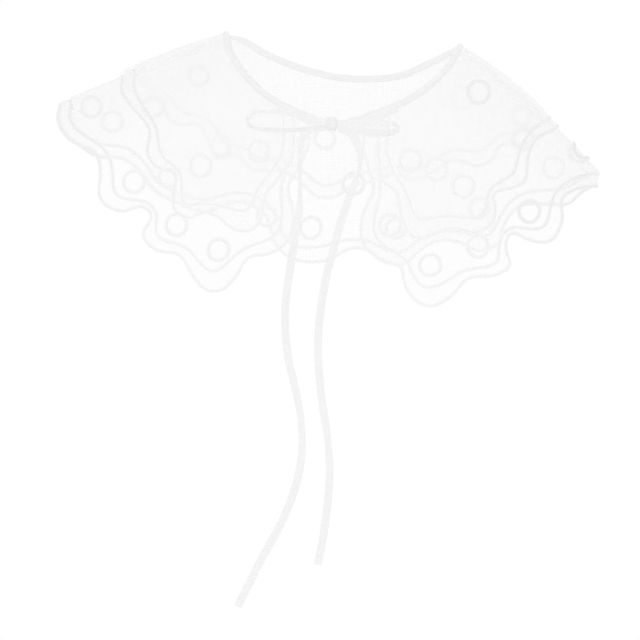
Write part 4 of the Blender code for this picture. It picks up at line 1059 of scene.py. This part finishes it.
def makeTier(tier, spec):
    # One tier of cloth with its two cords, each of which follows a row of the cloth's grid.
    points, cut, extras = tierSurface(spec)
    n, m = points.shape[:2]
    faces, corners = gridFaces(n, m)
    flat, bent = points.reshape(-1, 3), 1 - np.abs(extras[..., 1])
    shape = flat, faces, corners, cut * mm, []
    piece = addPiece(tier + "_tier_cloth", shape, organza, [tier + "_tier"])
    setShare(piece, "threadShare", threadShare(flat, tier, np.sign(extras[..., 2]).ravel(), bent.ravel()))
    trees[tier] = BVHTree.FromPolygons([Vector(p) for p in flat], faces.tolist())
    # Normals of the sheet's outer side: up on the fronts, outwards round the folds, down on the back.
    normal = unit(np.cross(np.gradient(points, axis=0), np.gradient(points, axis=1)))
    rows = np.concatenate([[0], np.cumsum(fine["across"])])
    share = embroidery["fromEdge"] / cloth["cordInset"]
    outer = points[:, rows[0]] * (1 - share) + points[:, rows[1]] * share
    thin, uneven = embroidery["thin"], np.sin(np.arange(n) * 0.37) * np.sin(np.arange(n) * 0.113 + 1.0)
    scale = np.clip(thin + (1 - thin) * extras[:, 0, 0], thin, 1.0) * (1 + embroidery["uneven"] * uneven)
    # Painted shade: the cords are painted darker near the shoulder folds, fading away from them.
    length = arcOf(outer)
    bends = length[np.abs(extras[:, 0, 1]) < 0.5]
    paintedDarkness = bell(np.abs(length[:, None] - bends).min(axis=1), ease["paintedDarkness"])
    made = []
    for cord, line, row in (("edge", outer, rows[1]), ("inner", points[:, rows[4]], rows[4])):
        atTurn = np.where(np.arange(n) < n / 2, *turnedOver[cord])
        cordDarkness = paintedDarkness + (atTurn - paintedDarkness) * bent[:, 0]
        made.append(makeCord(f"{tier}_{cord}_cord", line, normal[:, row], scale, cordDarkness))
        setShare(made[-1], "turned", np.repeat(bent[:, 0], embroidery["around"]))
    if tier == "lower":
        made.append(makeFoldRing(foldRing))
    quads = flat[faces]
    area = np.linalg.norm(np.cross(quads[:, 2] - quads[:, 0], quads[:, 3] - quads[:, 1]), axis=1).sum() / 2
    size = np.round(np.ptp(cut, axis=(0, 1)), 1)
    print(tier, "tier", n, "x", m, "area m2", round(area * mm * mm, 5), "cut", size)


for tier, spec in tiers.items():
    makeTier(tier, spec)
print("cloth done")


def makeRing(panel, number, x, y, radius):
    # Embroidered ring: a half-round satin-stitched line round a circle, lying on its panel at every point.
    side, tier = panel.split("_")
    angle = np.linspace(0.0, 2 * math.pi, 48, endpoint=False)
    wobble = radius * (1 + 0.018 * np.sin(2 * angle + x) + 0.012 * np.sin(3 * angle + y))
    plan = np.stack([x + wobble * np.cos(angle), y + wobble * np.sin(angle)], axis=1)
    top = underside(plan, levels[tiers[tier][side]]) + cloth["wall"]
    heights = [heightAt(tier, place, start + 1.25) or start - 0.5 for place, start in zip(plan, top)]
    line = np.column_stack([plan, heights])
    heading = unit(np.roll(line, -1, axis=0) - np.roll(line, 1, axis=0))
    across = unit(leftOf(heading))
    profile = cordProfile(embroidery["up"], embroidery["down"])
    girth = np.linspace(0.0, 4 * embroidery["wide"], len(profile) + 1)
    shape = tube(line, across, np.cross(heading, across), profile, girth=girth, joined=True)
    name = f"{panel}_{number:02d}"
    piece = addPiece(f"ring_{name}_stitched", shape, satinStitch, ["ring_" + name])
    setShare(piece, "paintedDarkness", np.full(len(shape[0]), darkerRings.get(name, 0.0)))


for panel, rows in rings.items():
    for number, row in enumerate(rows, 1):
        makeRing(panel, number, *row)
print("rings done")


# Neck binding: a folded strip over the raw edges of both tiers.
binding = {
    "width": 5.2, "thick": 2.4, "backZ": 1.3, "frontZ": 6.1, "step": 2.5, "foldSteps": 9,
    "squareWide": 0.6, "squareHigh": 0.75, "groove": (0.16, 1.5, 0.6),  # depth as a share, place, half width
}


def bindingLine():
    # Middle line of the binding with its inward and upward directions, round the whole neck, as one table.
    table, half = [], binding["width"] / 2

    def run(side, z, facing, backwards):
        # Along one part of the neck, half the binding's width in from the neck's edge.
        edge, inward = necks[side]
        length = arcOf(edge)[-1]
        places = np.linspace(0.0, length, int(length / binding["step"]) + 1)
        row = at(np.hstack([edge, inward]), places[::-1] if backwards else places)
        way, flat = unit(row[:, 2:]), np.zeros(len(row))
        middle = row[:, :2] + way * half
        table.append(np.column_stack([middle, flat + z, way, flat, flat, flat, flat + facing]))

    def turn(side, backwards):
        # Half a circle over a fold, between the heights of front and back.
        angles = np.linspace(0.0, math.pi, binding["foldSteps"] + 2)[1:-1]
        angles = (angles[::-1] if backwards else angles)[:, None]
        axis, outward = axes[side]
        swing = np.hstack([outward[:1] * np.sin(angles), np.cos(angles)])
        middle = np.append(axis[0] + heads[side] * half, (binding["frontZ"] + binding["backZ"]) / 2)
        line = middle + swing * (binding["frontZ"] - binding["backZ"]) / 2
        table.append(np.hstack([line, np.tile([*heads[side], 0.0], (len(angles), 1)), swing]))

    run("left", binding["frontZ"], 1.0, False)
    turn("left", False)
    run("back", binding["backZ"], -1.0, False)
    turn("right", True)
    run("right", binding["frontZ"], 1.0, True)
    return np.split(np.vstack(table), 3, axis=1)


def makeBinding():
    # Flat tube with full round edges, a shallow groove where the stitches pull it in.
    line, inward, up = bindingLine()
    angle = np.linspace(0.0, 2 * math.pi, 20, endpoint=False)
    c, s = np.cos(angle), np.sin(angle)
    deep, place, narrow = binding["groove"]
    wide = np.sign(c) * np.abs(c) ** binding["squareWide"] * binding["width"] / 2
    high = np.sign(s) * np.abs(s) ** binding["squareHigh"] * binding["thick"] / 2
    profile = np.stack([wide, high * (1 - deep * bell(wide - place, narrow))], axis=1)
    addPiece("neck_binding_cloth", tube(line, inward, up, profile), bindingCloth, ["neck_binding"])
    return line, inward, up


stitches = {
    "from": 4.0, "pitch": 3.0, "long": 2.1, "radius": 0.2, "across": 1.5, "over": 1.02,
    "steps": 7, "around": 6,
}


def makeStitches(name, line, inward, up, spec):
    # Running stitches: one short fat-middled thread copied along the line, each on the binding's face.
    along, steps, around = arcOf(line, 3), spec["steps"], spec["around"]
    places = np.arange(spec["from"], along[-1] - spec["from"], spec["pitch"])
    ways = [unit(sampled(places, along, table)) for table in (np.gradient(line, axis=0), inward, up)]
    start = sampled(places, along, line) + ways[1] * spec["across"] + ways[2] * spec["over"]
    t, angle = np.meshgrid(
        np.linspace(-1, 1, steps), np.linspace(0, 2 * math.pi, around, endpoint=False), indexing="ij"
    )
    size = spec["radius"] * np.sqrt(np.maximum(1 - t**2, 0.02))
    part = np.stack([t * spec["long"] / 2, size * np.cos(angle), size * np.sin(angle) - 0.1 * t**2], axis=-1)
    part = part.reshape(-1, 3)
    points = start[:, None] + sum(way[:, None] * part[None, :, k, None] for k, way in enumerate(ways))
    faces, corners = gridFaces(steps, around, closed=True)
    shift = np.arange(len(places)) * steps * around
    uv = evenUv(np.linspace(0, spec["long"], steps), np.linspace(0, 1.5, around + 1))
    ends = [tuple(range(around)), tuple(reversed(range((steps - 1) * around, steps * around)))]
    caps = [tuple(int(k + s) for k in end) for s in shift for end in ends]
    faces = (faces[None] + shift[:, None, None]).reshape(-1, 4)
    shape = points.reshape(-1, 3), faces, np.tile(corners, (len(places), 1, 1)), uv, caps
    addPiece(name, shape, sewingThread)


makeStitches("binding_stitches", *makeBinding(), stitches)
print("binding done")


# Floor and light: a plain pale table under a large soft light.
studio = {
    "floor": "#F8F8F8", "floorSize": 12.0, "floorZ": -0.0002, "fill": 1.005,
    "key": 0.33, "keyAngle": 50.0, "keyFrom": (-0.5, 0.55, 1.0),  # wide and soft from the upper left
}


def makeStudio(spec):
    # A square of floor, an even white surround and a sun lamp with a wide disc.
    mesh = bpy.data.meshes.new("table")
    s, z = spec["floorSize"] / 2, spec["floorZ"]
    mesh.from_pydata([(-s, -s, z), (s, -s, z), (s, s, z), (-s, s, z)], [], [(0, 1, 2, 3)])
    made, tree = newMaterial("pale_paper")
    closeMaterial(tree, addNode(tree, "BsdfDiffuse", {"Color": hexColour(spec["floor"]), "Roughness": 0.5}))
    mesh.materials.append(made)
    floor = bpy.data.objects.new("table", mesh)
    bpy.context.scene.collection.objects.link(floor)
    world = bpy.data.worlds.new("studio")
    world.use_nodes = True
    background = world.node_tree.nodes["Background"].inputs
    background["Color"].default_value = (1.0, 1.0, 1.0, 1.0)
    background["Strength"].default_value = spec["fill"]
    bpy.context.scene.world = world
    data = bpy.data.lights.new("key", "SUN")
    data.energy, data.angle = spec["key"], math.radians(spec["keyAngle"])
    lamp = bpy.data.objects.new("key", data)
    lamp.rotation_euler = Vector(spec["keyFrom"]).to_track_quat("Z", "Y").to_euler()
    bpy.context.scene.collection.objects.link(lamp)


makeStudio(studio)
print("studio done")
